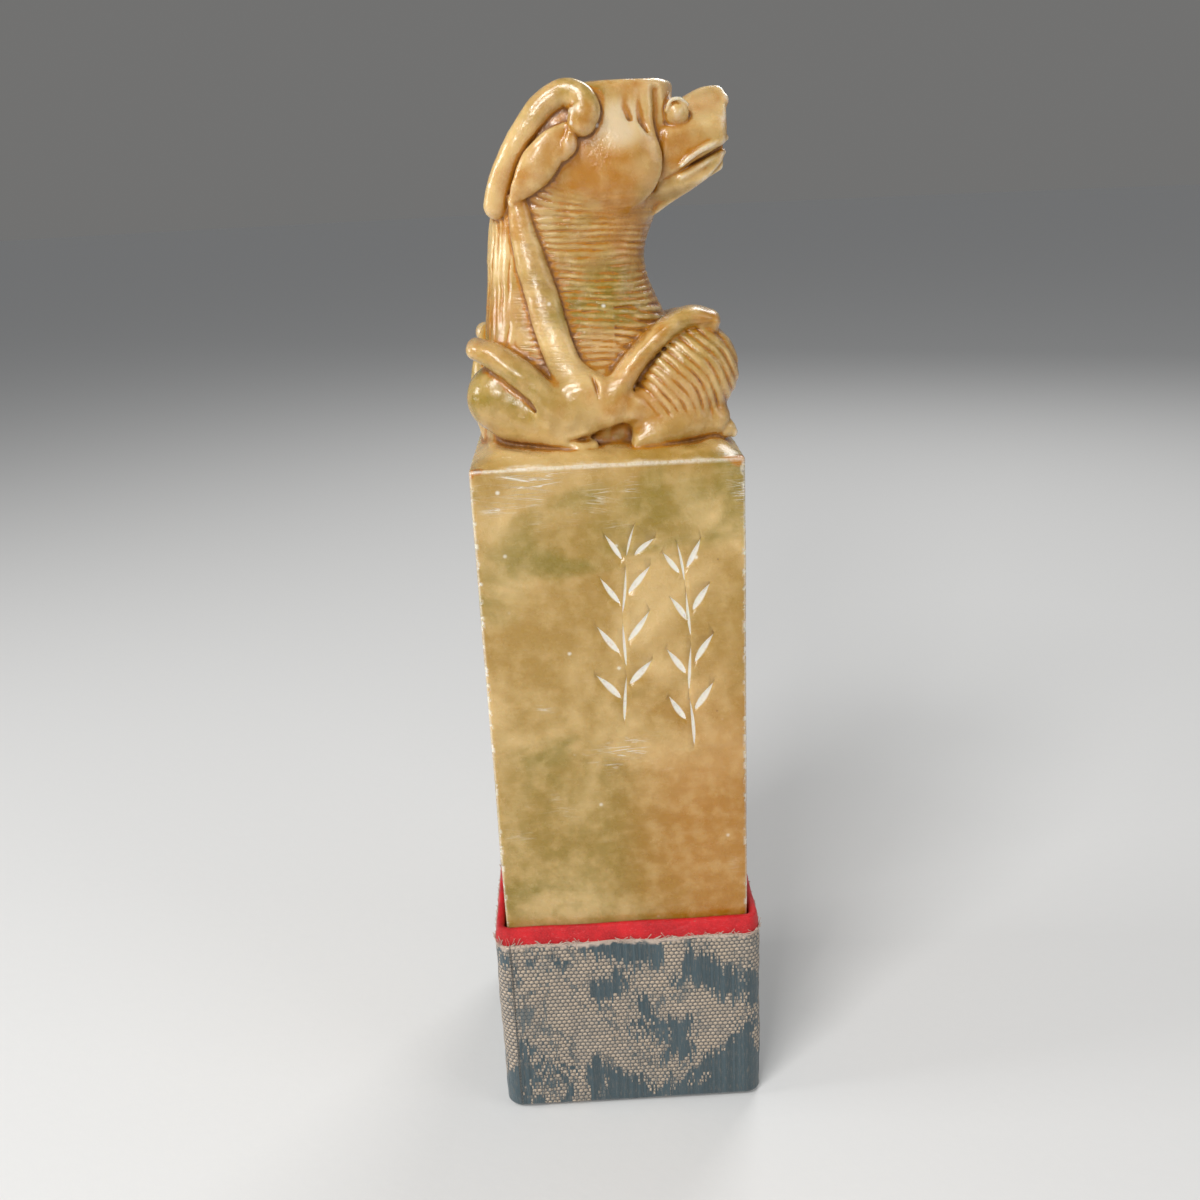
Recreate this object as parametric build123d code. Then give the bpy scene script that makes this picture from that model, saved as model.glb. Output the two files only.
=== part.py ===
from build123d import *

import os

# Carved soapstone seal with a crouching horned beast, standing in the socket half of a cloth-covered case.
# Frame: +Z up, origin under the middle of the case's foot. The carved front faces -Y, the beast looks along +X.
# All lengths are in millimetres. A share is a part of the size that it follows.

os.makedirs("parts", exist_ok=True)

# Stone: driving sizes
stone_side = 25.0
column_height = 66.2
beast_length = 25.0
beast_depth = 20.0
beast_height = 31.8
stone_bevel = 0.25
ledge_rise = 0.9
ledge_width = 2.6

# Stone: printing face
print_depth = 0.8
print_margin = 1.2
print_line = 1.1

# Beast: head
brow_thickness = 1.7
brow_height = 6.0
eye_size = 1.9
nostril_size = 0.9

# Beast: horns and ears
horn_root_width = 2.5
horn_tip_width = 2.9
horn_thickness = 2.6
knob_width = 2.9
knob_height = 4.3
ear_length = 8.2
ear_width = 3.2
ear_thickness = 2.2
ear_nub_size = 1.7

# Beast: limbs, mane locks and tail
lock_width = 2.8
lock_thickness = 2.0
rear_thigh_width = 3.0
fore_thigh_width = 2.6
fore_thigh_end_width = 1.7
thigh_thickness = 2.4
belly_length = 8.6
belly_height = 6.0
belly_thickness = 3.0
haunch_length = 12.0
haunch_height = 6.6
haunch_depth = 7.6
knee_length = 12.8
knee_height = 9.8
knee_depth = 8.6
paw_length = 4.4
paw_height = 2.2
paw_width = 3.2
hollow_length = 6.4
hollow_height = 2.6
hollow_depth = 4.6
tail_width = 3.2
tail_thickness = 2.0

# Case: driving sizes
case_height = 20.6
lip_height = 1.7
socket_gap = 0.15
socket_corner = 0.65
lining_thickness = 0.15
lining_hem = 4.2
board_thickness = 0.5
floor_thickness = 1.0
cloth_thickness = 0.25
turn_in = 4.5
stay_leg = 5.0
foot_thickness = 0.2
foot_margin = 0.8
lip_round = 0.12

# Case: pad under the printing face
pad_thickness = 2.2
pad_cover_thickness = 0.15
pad_gap = 0.1

# One overrun serves every cut
overrun = 2.0

# Levels and half sizes that follow from the driving sizes
board_bottom = foot_thickness + cloth_thickness
floor_top = board_bottom + floor_thickness
stone_bottom = floor_top + pad_thickness + pad_cover_thickness
column_top = stone_bottom + column_height
lip_top = case_height + lip_height
board_top = lip_top - lining_thickness
hem_bottom = lip_top - lining_hem

half_stone = stone_side / 2
half_socket = half_stone + socket_gap
half_board_inside = half_socket + lining_thickness
half_board_outside = half_board_inside + board_thickness
half_lip = half_board_outside + lining_thickness
half_case = half_lip + cloth_thickness

ON_FLOOR = (Align.CENTER, Align.CENTER, Align.MIN)
UNDER = (Align.CENTER, Align.CENTER, Align.MAX)

# Trunk, neck and head: height, middle along the length, half length and half depth of each level
TRUNK_SHARES = (
    (-0.031, -0.018, 0.438, 0.420),
    (0.094, -0.028, 0.428, 0.420),
    (0.219, -0.052, 0.396, 0.410),
    (0.312, -0.078, 0.358, 0.380),
    (0.391, -0.104, 0.320, 0.340),
    (0.484, -0.122, 0.290, 0.305),
    (0.562, -0.120, 0.284, 0.285),
    (0.641, -0.086, 0.302, 0.285),
    (0.719, -0.046, 0.322, 0.305),
    (0.812, -0.014, 0.318, 0.315),
    (0.900, 0.014, 0.294, 0.305),
    (0.975, 0.054, 0.246, 0.260),
    (1.000, 0.070, 0.212, 0.220),
)
TRUNK_CORNER_SHARE = 0.42

# Snout and lower jaw: place along, middle height, half width and half height of each section
SNOUT_SHARES = (
    (0.200, 0.846, 0.210, 0.096),
    (0.360, 0.884, 0.185, 0.088),
    (0.496, 0.919, 0.146, 0.070),
)
JAW_SHARES = (
    (0.200, 0.705, 0.175, 0.064),
    (0.360, 0.748, 0.155, 0.041),
    (0.492, 0.816, 0.125, 0.025),
)
MUZZLE_CORNER_SHARE = 0.36
BROW_SHARES = (0.208, -0.272, 0.890)
EYE_SHARES = (0.304, -0.205, 0.915)
NOSTRIL_SHARES = (0.492, -0.062, 0.952)

# Centre lines on the near side: along, across and up at each point
HORN_SHARES = (
    (-0.040, -0.265, 0.962),
    (-0.152, -0.235, 0.954),
    (-0.240, -0.225, 0.888),
    (-0.292, -0.215, 0.814),
    (-0.330, -0.195, 0.745),
    (-0.346, -0.185, 0.672),
)
KNOB_SHARES = (-0.028, -0.280, 0.928)
KNOB_TILT = 8
EAR_SHARES = (-0.184, -0.270, 0.797)
EAR_TILT = -45
EAR_TURN = -15
EAR_NUB_SHARES = (-0.076, -0.310, 0.859)
LOCK_SHARES = (
    (-0.268, -0.260, 0.690),
    (-0.254, -0.265, 0.616),
    (-0.234, -0.275, 0.544),
    (-0.210, -0.295, 0.478),
    (-0.190, -0.330, 0.403),
    (-0.162, -0.365, 0.322),
    (-0.124, -0.388, 0.225),
)
REAR_THIGH_SHARES = (
    (-0.470, -0.275, 0.306),
    (-0.368, -0.345, 0.272),
    (-0.276, -0.395, 0.222),
    (-0.192, -0.430, 0.169),
    (-0.110, -0.440, 0.134),
)
FORE_THIGH_SHARES = (
    (0.030, -0.450, 0.150),
    (0.124, -0.430, 0.274),
    (0.224, -0.385, 0.338),
    (0.332, -0.325, 0.370),
    (0.410, -0.280, 0.356),
)
TAIL_SHARES = (
    (-0.425, 0.0, 0.030),
    (-0.450, 0.0, 0.120),
    (-0.448, 0.0, 0.220),
    (-0.428, 0.0, 0.330),
)

# Middles of the rounded forms, and how they lean
BELLY_SHARES = (-0.048, -0.425, 0.153)
BELLY_UNDERSIDE_SHARE = 0.088
HAUNCH_SHARES = (-0.280, -0.320, 0.134)
HAUNCH_TILT = 33
KNEE_SHARES = (0.296, -0.300, 0.192)
KNEE_TILT = -52
REAR_PAW_SHARES = (-0.144, -0.460, 0.040)
FORE_PAW_SHARES = (0.160, -0.465, 0.040)
HOLLOW_SHARES = (0.024, -0.480, 0.052)

# A strand's rounded ends: place along it, and the part of its full section that it has there
STRAND_END_SHARES = (
    (0.00, 0.30),
    (0.03, 0.62),
    (0.09, 0.90),
    (0.22, 1.00),
    (0.50, 1.00),
    (0.78, 1.00),
    (0.91, 0.90),
    (0.97, 0.62),
    (1.00, 0.30),
)

# Printing relief: bars of one quarter of the fret, from, across and to in shares of half the field
FRET_BAR_SHARES = (
    ((0.10, 0.10), (0.10, 0.86)),
    ((0.10, 0.86), (0.86, 0.86)),
    ((0.86, 0.86), (0.86, 0.29)),
    ((0.86, 0.29), (0.32, 0.29)),
    ((0.32, 0.29), (0.32, 0.64)),
    ((0.32, 0.64), (0.62, 0.64)),
)


def spot(shares):
    """A place on the beast, from its shares of the beast's length, depth and height over the column's top."""
    along, across, up = shares
    return Vector(along * beast_length, across * beast_depth, column_top + up * beast_height)


def both_sides(shape):
    """The shape on the near side of the beast, and its mirror image on the far side."""
    return [shape, mirror(shape, Plane.XZ)]


def egg(length, depth, height, place_shares, tilt=0, turn=0):
    """An egg of three full sizes with its poles across the beast, turned about Z, then tilted about Y."""
    unit = Rot(90, 0, 0) * Sphere(1)
    shape = scale(unit, (length / 2, depth / 2, height / 2))
    place = spot(place_shares)
    return Location((place.X, place.Y, place.Z), (0, tilt, turn)) * shape


def blend_of(sizes, place_share):
    """The size at a place along a strand, straight between the sizes of its points."""
    place = place_share * (len(sizes) - 1)
    before = min(int(place), len(sizes) - 2)
    rest = place - before
    return sizes[before] * (1 - rest) + sizes[before + 1] * rest


def strand(path_shares, widths, thicknesses):
    """One loft of oval sections along a smooth line through places on the beast, with rounded ends."""
    spine = Spline([spot(shares) for shares in path_shares])
    sections = []
    for place_share, size_share in STRAND_END_SHARES:
        run = spine % place_share
        side = run.cross(Vector(0, 1, 0)).normalized()
        plane = Plane(origin=spine @ place_share, x_dir=side, z_dir=run)
        half_width = blend_of(widths, place_share) / 2
        half_thickness = blend_of(thicknesses, place_share) / 2
        sections.append(plane * Ellipse(half_width * size_share, half_thickness * size_share))
    return loft(sections)


def trunk():
    """Body, neck and head as one form, lofted through rounded rectangles from the ledge up to the flat crown."""
    sections = []
    for up, middle, half_length, half_depth in TRUNK_SHARES:
        length = 2 * half_length * beast_length
        depth = 2 * half_depth * beast_depth
        corner = TRUNK_CORNER_SHARE * min(length, depth)
        sections.append(Plane(origin=spot((middle, 0, up))) * RectangleRounded(length, depth, corner))
    return loft(sections)


def muzzle(section_shares):
    """A snout or jaw, lofted along the beast's length through rounded rectangles."""
    sections = []
    for along, middle, half_width, half_height in section_shares:
        width = 2 * half_width * beast_depth
        height = 2 * half_height * beast_height
        corner = MUZZLE_CORNER_SHARE * min(width, height)
        plane = Plane(origin=spot((along, 0, middle)), x_dir=(0, 1, 0), z_dir=(1, 0, 0))
        sections.append(plane * RectangleRounded(width, height, corner))
    return loft(sections)


def horns_and_ears():
    """Each horn leaves its knob, arches back and comes down. The ear's leaf lies in its curve."""
    count = len(HORN_SHARES)
    widths = [horn_root_width + (horn_tip_width - horn_root_width) * step / (count - 1) for step in range(count)]
    horn = strand(HORN_SHARES, widths, [horn_thickness] * count)
    knob = egg(knob_width, knob_width, knob_height, KNOB_SHARES, KNOB_TILT)
    ear = egg(ear_length, ear_thickness, ear_width, EAR_SHARES, EAR_TILT, EAR_TURN)
    nub = egg(ear_nub_size, ear_nub_size, ear_nub_size, EAR_NUB_SHARES)
    return both_sides(horn) + both_sides(knob) + both_sides(ear) + both_sides(nub)


def face():
    """Snout, jaw, and a brow and an eye on each side."""
    brow = egg(brow_thickness, brow_thickness, brow_height, BROW_SHARES)
    eye = egg(eye_size, eye_size, eye_size, EYE_SHARES)
    return [muzzle(SNOUT_SHARES), muzzle(JAW_SHARES)] + both_sides(brow) + both_sides(eye)


def belly():
    """The swelling where the lock and the thighs meet, cut level over the hollow between the paws."""
    swell = egg(belly_length, belly_thickness, belly_height, BELLY_SHARES)
    underside = spot((0, 0, BELLY_UNDERSIDE_SHARE))
    below = Pos(0, 0, underside.Z) * Box(beast_length, stone_side, belly_height, align=UNDER)
    return swell - below


def legs():
    """Haunch, knee and paws, with a raised thigh band over the haunch and one over the knee."""
    rear_count = len(REAR_THIGH_SHARES)
    fore_count = len(FORE_THIGH_SHARES)
    fore_widths = [fore_thigh_width] * (fore_count - 1) + [fore_thigh_end_width]
    forms = [
        egg(haunch_length, haunch_depth, haunch_height, HAUNCH_SHARES, HAUNCH_TILT),
        egg(knee_length, knee_depth, knee_height, KNEE_SHARES, KNEE_TILT),
        egg(paw_length, paw_width, paw_height, REAR_PAW_SHARES),
        egg(paw_length, paw_width, paw_height, FORE_PAW_SHARES),
        strand(REAR_THIGH_SHARES, [rear_thigh_width] * rear_count, [thigh_thickness] * rear_count),
        strand(FORE_THIGH_SHARES, fore_widths, [thigh_thickness] * fore_count),
    ]
    return [copy for form in forms for copy in both_sides(form)]


def mane_and_tail():
    """A long lock on each side from behind the ear to the belly, and the tail up the back."""
    lock_count = len(LOCK_SHARES)
    lock = strand(LOCK_SHARES, [lock_width] * lock_count, [lock_thickness] * lock_count)
    tail_count = len(TAIL_SHARES)
    tail = strand(TAIL_SHARES, [tail_thickness] * tail_count, [tail_width] * tail_count)
    return both_sides(lock) + [tail]


def ledge():
    """The ground that rises from the column's top edge to the beast's feet."""
    side = stone_side - 2 * stone_bevel
    foot_side = stone_side - 2 * ledge_width
    low = Plane(origin=(0, 0, column_top)) * Rectangle(side, side)
    high = Plane(origin=(0, 0, column_top + ledge_rise)) * Rectangle(foot_side, foot_side)
    return loft([low, high], ruled=True)


def fret_bar(start_share, end_share, half_field):
    """One raised bar of the fret, from one corner to the next, as wide as the printing line."""
    start_x, start_y = (share * half_field for share in start_share)
    end_x, end_y = (share * half_field for share in end_share)
    length = abs(end_x - start_x) + print_line
    width = abs(end_y - start_y) + print_line
    middle = Pos((start_x + end_x) / 2, (start_y + end_y) / 2, stone_bottom)
    return middle * Box(length, width, print_depth, align=ON_FLOOR)


def printing_hollow():
    """The ground cut out of the printing face: it leaves a border and a fret of four turned quarters."""
    field = stone_side - 2 * print_margin
    ground = Pos(0, 0, stone_bottom) * Box(field, field, 2 * print_depth)
    for quarter in range(4):
        for start_share, end_share in FRET_BAR_SHARES:
            ground -= Rot(0, 0, 90 * quarter) * fret_bar(start_share, end_share, field / 2)
    keep = Pos(0, 0, stone_bottom) * Box(stone_side, stone_side, print_depth, align=ON_FLOOR)
    return ground & keep


def seal_stone():
    """The one block of stone: the column with its printing relief, the ledge and the beast."""
    column = Pos(0, 0, stone_bottom) * Box(stone_side, stone_side, column_height, align=ON_FLOOR)
    column = chamfer(column.edges(), stone_bevel) - printing_hollow()
    forms = [ledge(), trunk()] + face() + horns_and_ears() + both_sides(belly()) + legs() + mane_and_tail()
    carving = column.fuse(*forms)
    nostril = egg(nostril_size, nostril_size, nostril_size, NOSTRIL_SHARES)
    hollow = egg(hollow_length, hollow_depth, hollow_height, HOLLOW_SHARES)
    return carving.cut(*(both_sides(nostril) + both_sides(hollow)))


def slab(half_side, corner, bottom, top):
    """A square slab with rounded corners between two levels."""
    sketch = Plane(origin=(0, 0, bottom)) * RectangleRounded(2 * half_side, 2 * half_side, corner)
    return extrude(sketch, top - bottom)


def ring(half_inside, half_outside, bottom, top):
    """A square wall with corners that follow the socket's, between two levels."""
    outside = slab(half_outside, corner_at(half_outside), bottom, top)
    return outside - slab(half_inside, corner_at(half_inside), bottom - overrun, top + overrun)


def corner_at(half_side):
    """The corner radius at a distance from the middle: the socket's, grown by what lies outside it."""
    return socket_corner + half_side - half_socket


def board_ring():
    """All four wall boards as one ring, square inside and rounded outside, before they are parted."""
    outside = slab(half_board_outside, corner_at(half_board_outside), board_bottom, board_top)
    room = Pos(0, 0, board_bottom) * Box(2 * half_board_inside, 2 * half_board_inside, 2 * lip_top)
    return outside - room


def end_board(side):
    """The front or rear wall board, which laps the ends of the side boards."""
    reach = board_thickness + overrun
    middle = side * (half_board_inside + reach / 2)
    keep = Pos(0, middle, lip_top / 2) * Box(2 * half_case, reach, 2 * lip_top)
    return board_ring() & keep


def side_board(side):
    """The left or right wall board, between the front and rear boards."""
    reach = board_thickness + overrun
    middle = side * (half_board_inside + reach / 2)
    keep = Pos(middle, 0, lip_top / 2) * Box(reach, 2 * half_board_inside, 2 * lip_top)
    return board_ring() & keep


def paper_ring():
    """The paper under the outer cloth, as one ring before it is parted into corners and leaves."""
    return ring(half_board_outside, half_lip, board_bottom, hem_bottom)


def corner_stays():
    """Four strips of paper, each bent round a corner of the boards."""
    middle = half_lip - stay_leg / 2
    corners = [Pos(x, y, lip_top / 2) * Box(stay_leg, stay_leg, 2 * lip_top)
               for x in (-middle, middle) for y in (-middle, middle)]
    return [paper_ring() & corner for corner in corners]


def backing_paper():
    """Four leaves of paper that fill the sides between the corner stays."""
    opening = 2 * (half_lip - stay_leg)
    reach = 2 * half_case
    along_y = Pos(0, 0, lip_top / 2) * Box(reach, opening, 2 * lip_top)
    along_x = Pos(0, 0, lip_top / 2) * Box(opening, reach, 2 * lip_top)
    return (paper_ring() & along_x).solids() + (paper_ring() & along_y).solids()


def satin_lining():
    """The red lining: up the inside from the floor, over the boards, and down outside to its hem."""
    inside = ring(half_socket, half_board_inside, floor_top, lip_top)
    over = ring(half_socket, half_lip, board_top, lip_top)
    outside = ring(half_board_outside, half_lip, hem_bottom, lip_top)
    lining = inside.fuse(over, outside)
    top_face = lining.faces().sort_by(Axis.Z)[-1]
    return fillet(top_face.edges(), lip_round)


def brocade_wrap():
    """The outer cloth: round the sides up to the lip, and turned in under the foot."""
    walls = ring(half_lip, half_case, foot_thickness, case_height)
    under = slab(half_case, corner_at(half_case), foot_thickness, board_bottom)
    opening = 2 * (half_case - turn_in)
    window = Pos(0, 0, foot_thickness) * Box(opening, opening, 2 * overrun)
    return walls.fuse(under - window)


def foot_sheet():
    """The paper on the underside, which covers the turned-in edges of the cloth."""
    half_foot = half_case - foot_margin
    return slab(half_foot, corner_at(half_foot), 0, foot_thickness)


def floor_board():
    """The board between the walls that carries the pad."""
    side = 2 * half_board_inside
    return Pos(0, 0, board_bottom) * Box(side, side, floor_thickness, align=ON_FLOOR)


def pad_wadding():
    """The wadding on the floor, inside its cover."""
    half_wadding = half_socket - pad_gap - pad_cover_thickness
    return slab(half_wadding, corner_at(half_wadding), floor_top, floor_top + pad_thickness)


def pad_cover():
    """The red cloth over the wadding, down its sides to the floor."""
    half_pad = half_socket - pad_gap
    return slab(half_pad, corner_at(half_pad), floor_top, stone_bottom) - pad_wadding()


PIECES = {
    "seal_stone": [seal_stone()],
    "pad_wadding": [pad_wadding()],
    "pad_cover": [pad_cover()],
    "floor_board": [floor_board()],
    "front_wall_board": [end_board(-1)],
    "rear_wall_board": [end_board(1)],
    "left_wall_board": [side_board(-1)],
    "right_wall_board": [side_board(1)],
    "corner_stays": corner_stays(),
    "backing_paper": backing_paper(),
    "satin_lining": [satin_lining()],
    "brocade_wrap": [brocade_wrap()],
    "foot_sheet": [foot_sheet()],
}

for name, shapes in PIECES.items():
    solids = [solid for shape in shapes for solid in shape.solids()]
    export_step(Compound(children=solids), f"parts/{name}.step")
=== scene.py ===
import bmesh
import bpy
import numpy as np
from mathutils import Matrix, Vector


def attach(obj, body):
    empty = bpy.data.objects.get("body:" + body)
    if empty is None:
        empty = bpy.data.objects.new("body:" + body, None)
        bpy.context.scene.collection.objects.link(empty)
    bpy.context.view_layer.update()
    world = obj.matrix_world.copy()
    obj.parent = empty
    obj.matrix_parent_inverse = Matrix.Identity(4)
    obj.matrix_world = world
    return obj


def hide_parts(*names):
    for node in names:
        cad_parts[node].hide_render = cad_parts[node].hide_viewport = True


# A carved soapstone seal in the socket half of its cloth-covered case.
# Everything stands in the frame's metres. The carving is worked out in millimetres over the column's top.

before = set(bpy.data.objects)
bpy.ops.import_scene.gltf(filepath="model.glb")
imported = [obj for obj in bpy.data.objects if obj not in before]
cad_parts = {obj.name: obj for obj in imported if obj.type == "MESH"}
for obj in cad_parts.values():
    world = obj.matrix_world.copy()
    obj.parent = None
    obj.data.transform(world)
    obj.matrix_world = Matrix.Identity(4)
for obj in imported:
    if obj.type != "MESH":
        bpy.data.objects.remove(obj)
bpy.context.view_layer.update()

bl_info = {
    "name": "Soapstone seal in its case",
    "version": (1, 0, 0),
    "blender": (4, 5, 0),
    "location": "View3D > Sidebar > Seal",
    "description": "Carves the seal with its crouching beast and dresses the cloth-covered case",
    "category": "Add Mesh",
}

MM = 0.001

# Trunk, neck and head over the column's top: height, rear and front end, half depth, all in mm
TRUNK_LEVELS = (
    (-2.0, -11.6, 10.4, 8.6),
    (1.0, -11.5, 10.2, 8.5),
    (3.5, -11.3, 9.6, 8.3),
    (7.0, -11.1, 8.6, 8.0),
    (10.0, -10.8, 7.4, 7.4),
    (12.2, -10.6, 6.3, 6.8),
    (14.0, -10.4, 5.4, 6.3),
    (15.7, -10.2, 4.9, 5.9),
    (17.5, -10.1, 4.7, 5.7),
    (19.2, -9.9, 5.1, 5.6),
    (21.1, -9.6, 5.9, 5.8),
    (23.5, -9.0, 6.6, 6.1),
    (26.5, -8.1, 7.0, 6.3),
    (29.0, -6.8, 7.4, 6.1),
    (31.0, -5.2, 7.6, 5.7),
    (33.0, -3.6, 7.6, 5.3),
)
TRUNK_POWER = 2.8

# Level of the flat crown, and where the carving ends inside the column, in mm
CROWN = 32.35
CARVING_FOOT = -1.3

# Hair: how far apart its grooves are and how deep, in mm
NECK_HAIR = (0.60, 0.13)
BACK_HAIR = (0.80, 0.10)
KNEE_HAIR = (0.78, 0.16)

# Points between two given ones on a strand and on a tube, and the room left round a form, in mm
STRAND_STEPS = 24
TUBE_STEPS = 16
MARGIN = 1.5
CUT_MARGIN = 0.8
FAR_AWAY = 9.0

# Strands over the near side, in mm: along X, height, lift off the trunk's side, half width, half thickness
HORN = (
    (-0.75, 28.9, 0.45, 1.28, 1.25),
    (-0.55, 29.8, 0.60, 1.42, 1.32),
    (-0.95, 30.8, 0.40, 1.32, 1.30),
    (-2.4, 31.2, 0.20, 1.22, 1.25),
    (-4.2, 30.2, 0.35, 1.20, 1.25),
    (-5.95, 28.15, 0.40, 1.16, 1.25),
    (-7.3, 25.9, 0.45, 1.18, 1.20),
    (-8.25, 23.9, 0.45, 1.22, 1.20),
    (-8.7, 22.3, 0.35, 1.22, 1.15),
)
EAR = (
    (-2.1, 28.2, 0.00, 0.75, 0.7),
    (-3.4, 27.0, 0.30, 1.40, 0.85),
    (-4.8, 25.4, 0.55, 1.55, 0.85),
    (-6.1, 23.9, 0.65, 1.15, 0.75),
    (-7.2, 22.5, 0.60, 0.40, 0.5),
)
EAR_NUB = ((-1.7, 28.0, 0.35, 0.50, 0.6), (-2.0, 27.0, 0.45, 0.75, 0.7), (-2.5, 26.3, 0.35, 0.6, 0.55))
LOCK = (
    (-6.75, 22.6, -0.10, 0.90, 0.9),
    (-6.45, 20.0, 0.00, 1.15, 1.05),
    (-5.90, 17.4, 0.10, 1.38, 1.15),
    (-5.30, 15.3, 0.15, 1.48, 1.15),
    (-4.75, 12.9, 0.20, 1.52, 1.15),
    (-4.05, 10.3, 0.30, 1.50, 1.10),
    (-3.30, 8.2, 0.35, 1.50, 1.00),
    (-2.60, 6.2, 0.30, 1.50, 0.8),
)
REAR_THIGH = (
    (-11.3, 10.0, 6.9, 0.95, 2.2),
    (-9.9, 9.5, 7.6, 1.15, 2.2),
    (-8.4, 8.5, 8.0, 1.25, 2.2),
    (-6.9, 7.3, 8.3, 1.30, 2.2),
    (-5.1, 5.6, 8.6, 1.30, 2.1),
    (-3.4, 3.9, 8.9, 1.25, 1.7),
)
FORE_THIGH = (
    (0.6, 4.4, 8.9, 1.45, 1.7),
    (1.9, 6.9, 8.4, 1.20, 2.1),
    (3.5, 8.9, 8.0, 1.02, 2.2),
    (5.8, 10.9, 7.3, 0.98, 2.3),
    (8.2, 11.95, 6.6, 1.00, 2.3),
    (10.1, 11.5, 6.1, 1.00, 2.1),
)
BELLY = (
    (-4.6, 4.4, 8.7, 1.6, 1.7),
    (-2.0, 5.0, 8.9, 2.5, 1.7),
    (0.6, 4.9, 8.9, 2.3, 1.7),
    (2.0, 4.6, 8.8, 1.6, 1.6),
)
CREASE = (
    (-1.9, 9.4, 8.8, 0.12, 0.3),
    (-1.3, 8.2, 9.5, 0.20, 0.4),
    (-0.7, 6.9, 10.4, 0.22, 0.4),
    (-0.5, 5.6, 10.75, 0.10, 0.25),
)
RECESS = (
    (-3.2, 1.75, 11.6, 0.20, 1.2),
    (-1.6, 1.78, 11.4, 0.45, 2.2),
    (0.9, 1.78, 11.4, 0.45, 2.2),
    (2.4, 1.70, 11.6, 0.20, 1.2),
)

# Grooves down the brow and cheek, given as the strands are
BROW_GROOVES = (
    (
        (6.05, 31.2, 0.25, 0.45, 0.40),
        (6.10, 28.5, 0.15, 0.55, 0.42),
        (5.90, 26.0, 0.12, 0.45, 0.36),
        (5.45, 23.0, 0.10, 0.22, 0.20),
    ),
    (
        (4.55, 32.6, 0.12, 0.45, 0.20),
        (4.50, 30.2, 0.14, 0.45, 0.27),
        (4.65, 28.2, 0.12, 0.35, 0.22),
        (4.90, 26.4, 0.05, 0.12, 0.10),
    ),
    ((3.45, 32.6, 0.12, 0.42, 0.17), (3.35, 30.6, 0.10, 0.42, 0.19), (3.45, 29.0, 0.06, 0.16, 0.1)),
)

# Lines on the face, each a fillet and places with X, Y, height and radius: upper lid, lips, nostril's rim
FACE_LINES = (
    (0.30, (
        (6.75, -4.3, 29.5, 0.1), (7.15, -4.45, 30.3, 0.16), (7.95, -4.35, 30.45, 0.17), (8.75, -3.9, 30, 0.1),
    )),
    (0.22, (
        (12.35, -2.75, 27.1, 0.22), (10.6, -3.75, 26.5, 0.26),
        (8.9, -4.05, 25.6, 0.24), (8, -4.1, 24.9, 0.16),
    )),
    (0.22, (
        (12.1, -2.3, 25.9, 0.2), (10.4, -3.15, 25.1, 0.26), (8.9, -3.45, 24.3, 0.24), (8, -3.7, 23.9, 0.16),
    )),
    (0.22, ((12.1, -0.7, 30.75, 0.34), (12.3, -1.35, 30.35, 0.40), (12.1, -1.9, 29.7, 0.26))),
)

# Lines cut in the face in the same way: round the eye, down the nose, and two folds behind the mouth
EYE_RING = ((6.7, -4.9, 30.6, 0.3), (6.55, -4.9, 29.4, 0.34), (6.8, -4.9, 28.2, 0.3), (7.6, -4.8, 27.7, 0.22))
NOSE_LINE = ((12.8, 0, 30.6, 0.16), (12.85, 0, 28.8, 0.2), (12.9, 0, 27.2, 0.16))
MOUTH_FOLDS = (
    ((6.9, -4.7, 27.6, 0.16), (7.0, -4.5, 25.8, 0.22)),
    ((7.5, -4.7, 27.6, 0.16), (7.6, -4.5, 25.8, 0.22)),
)

# Rounded legs: along X, height, distance from the middle plane, half width and half thickness, in mm
HAUNCH = (
    (-9.3, 5.3, 5.7, 3.3, 3.4),
    (-7.6, 4.3, 6.2, 3.3, 3.3),
    (-5.6, 3.0, 7.0, 2.3, 2.9),
    (-3.8, 2.1, 8.3, 1.4, 2.0),
    (-2.2, 1.55, 9.2, 1.0, 1.3),
    (-1.3, 1.35, 9.5, 0.7, 0.8),
)
KNEE = (
    (8.3, 7.1, 5.6, 4.5, 4.2),
    (6.6, 5.8, 6.0, 4.3, 4.1),
    (4.9, 3.9, 6.9, 2.7, 3.1),
    (4.4, 2.6, 8.0, 1.9, 2.1),
)
FORE_LEG = (
    (10.0, 2.7, 6.8, 1.8, 2.4),
    (7.4, 2.5, 7.9, 1.7, 2.2),
    (5.0, 1.9, 9.1, 1.25, 1.6),
    (3.1, 1.45, 9.8, 0.75, 0.9),
)

# Places of the toes across the near paw, in mm
TOES = (-7.7, -6.1, -4.5)

# Sides to work on. Forms on the middle plane are worked out once, as if on the near side. The knees and what
# belongs to them are made one side after the other, each with how much lower it is there, in mm.
NEAR = (-1,)
DROPS = ((NEAR, 0), ((1,), 1.5))

# Tail up the back, and the curl on each side of it: along X, across Y, height and radius, in mm
TAIL = (
    (-10.6, 0, 1.2, 1.3),
    (-11.2, 0.3, 3.5, 1.35),
    (-11.2, -0.2, 6.2, 1.35),
    (-10.9, 0.5, 8.8, 1.1),
    (-10.7, 1.2, 10.8, 0.6),
)
TAIL_CURL = (
    (-10.9, -1.8, 1.3, 0.9),
    (-11.2, -2.4, 3.3, 1.0),
    (-11.0, -2.6, 5.3, 0.9),
    (-10.8, -2.1, 7.0, 0.5),
)


def smooth_step(value, low, high):
    """0 at low, 1 at high and a smooth S between; low may be the larger."""
    t = np.clip((value - low) / (high - low), 0, 1)
    return t * t * (3 - 2 * t)


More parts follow.
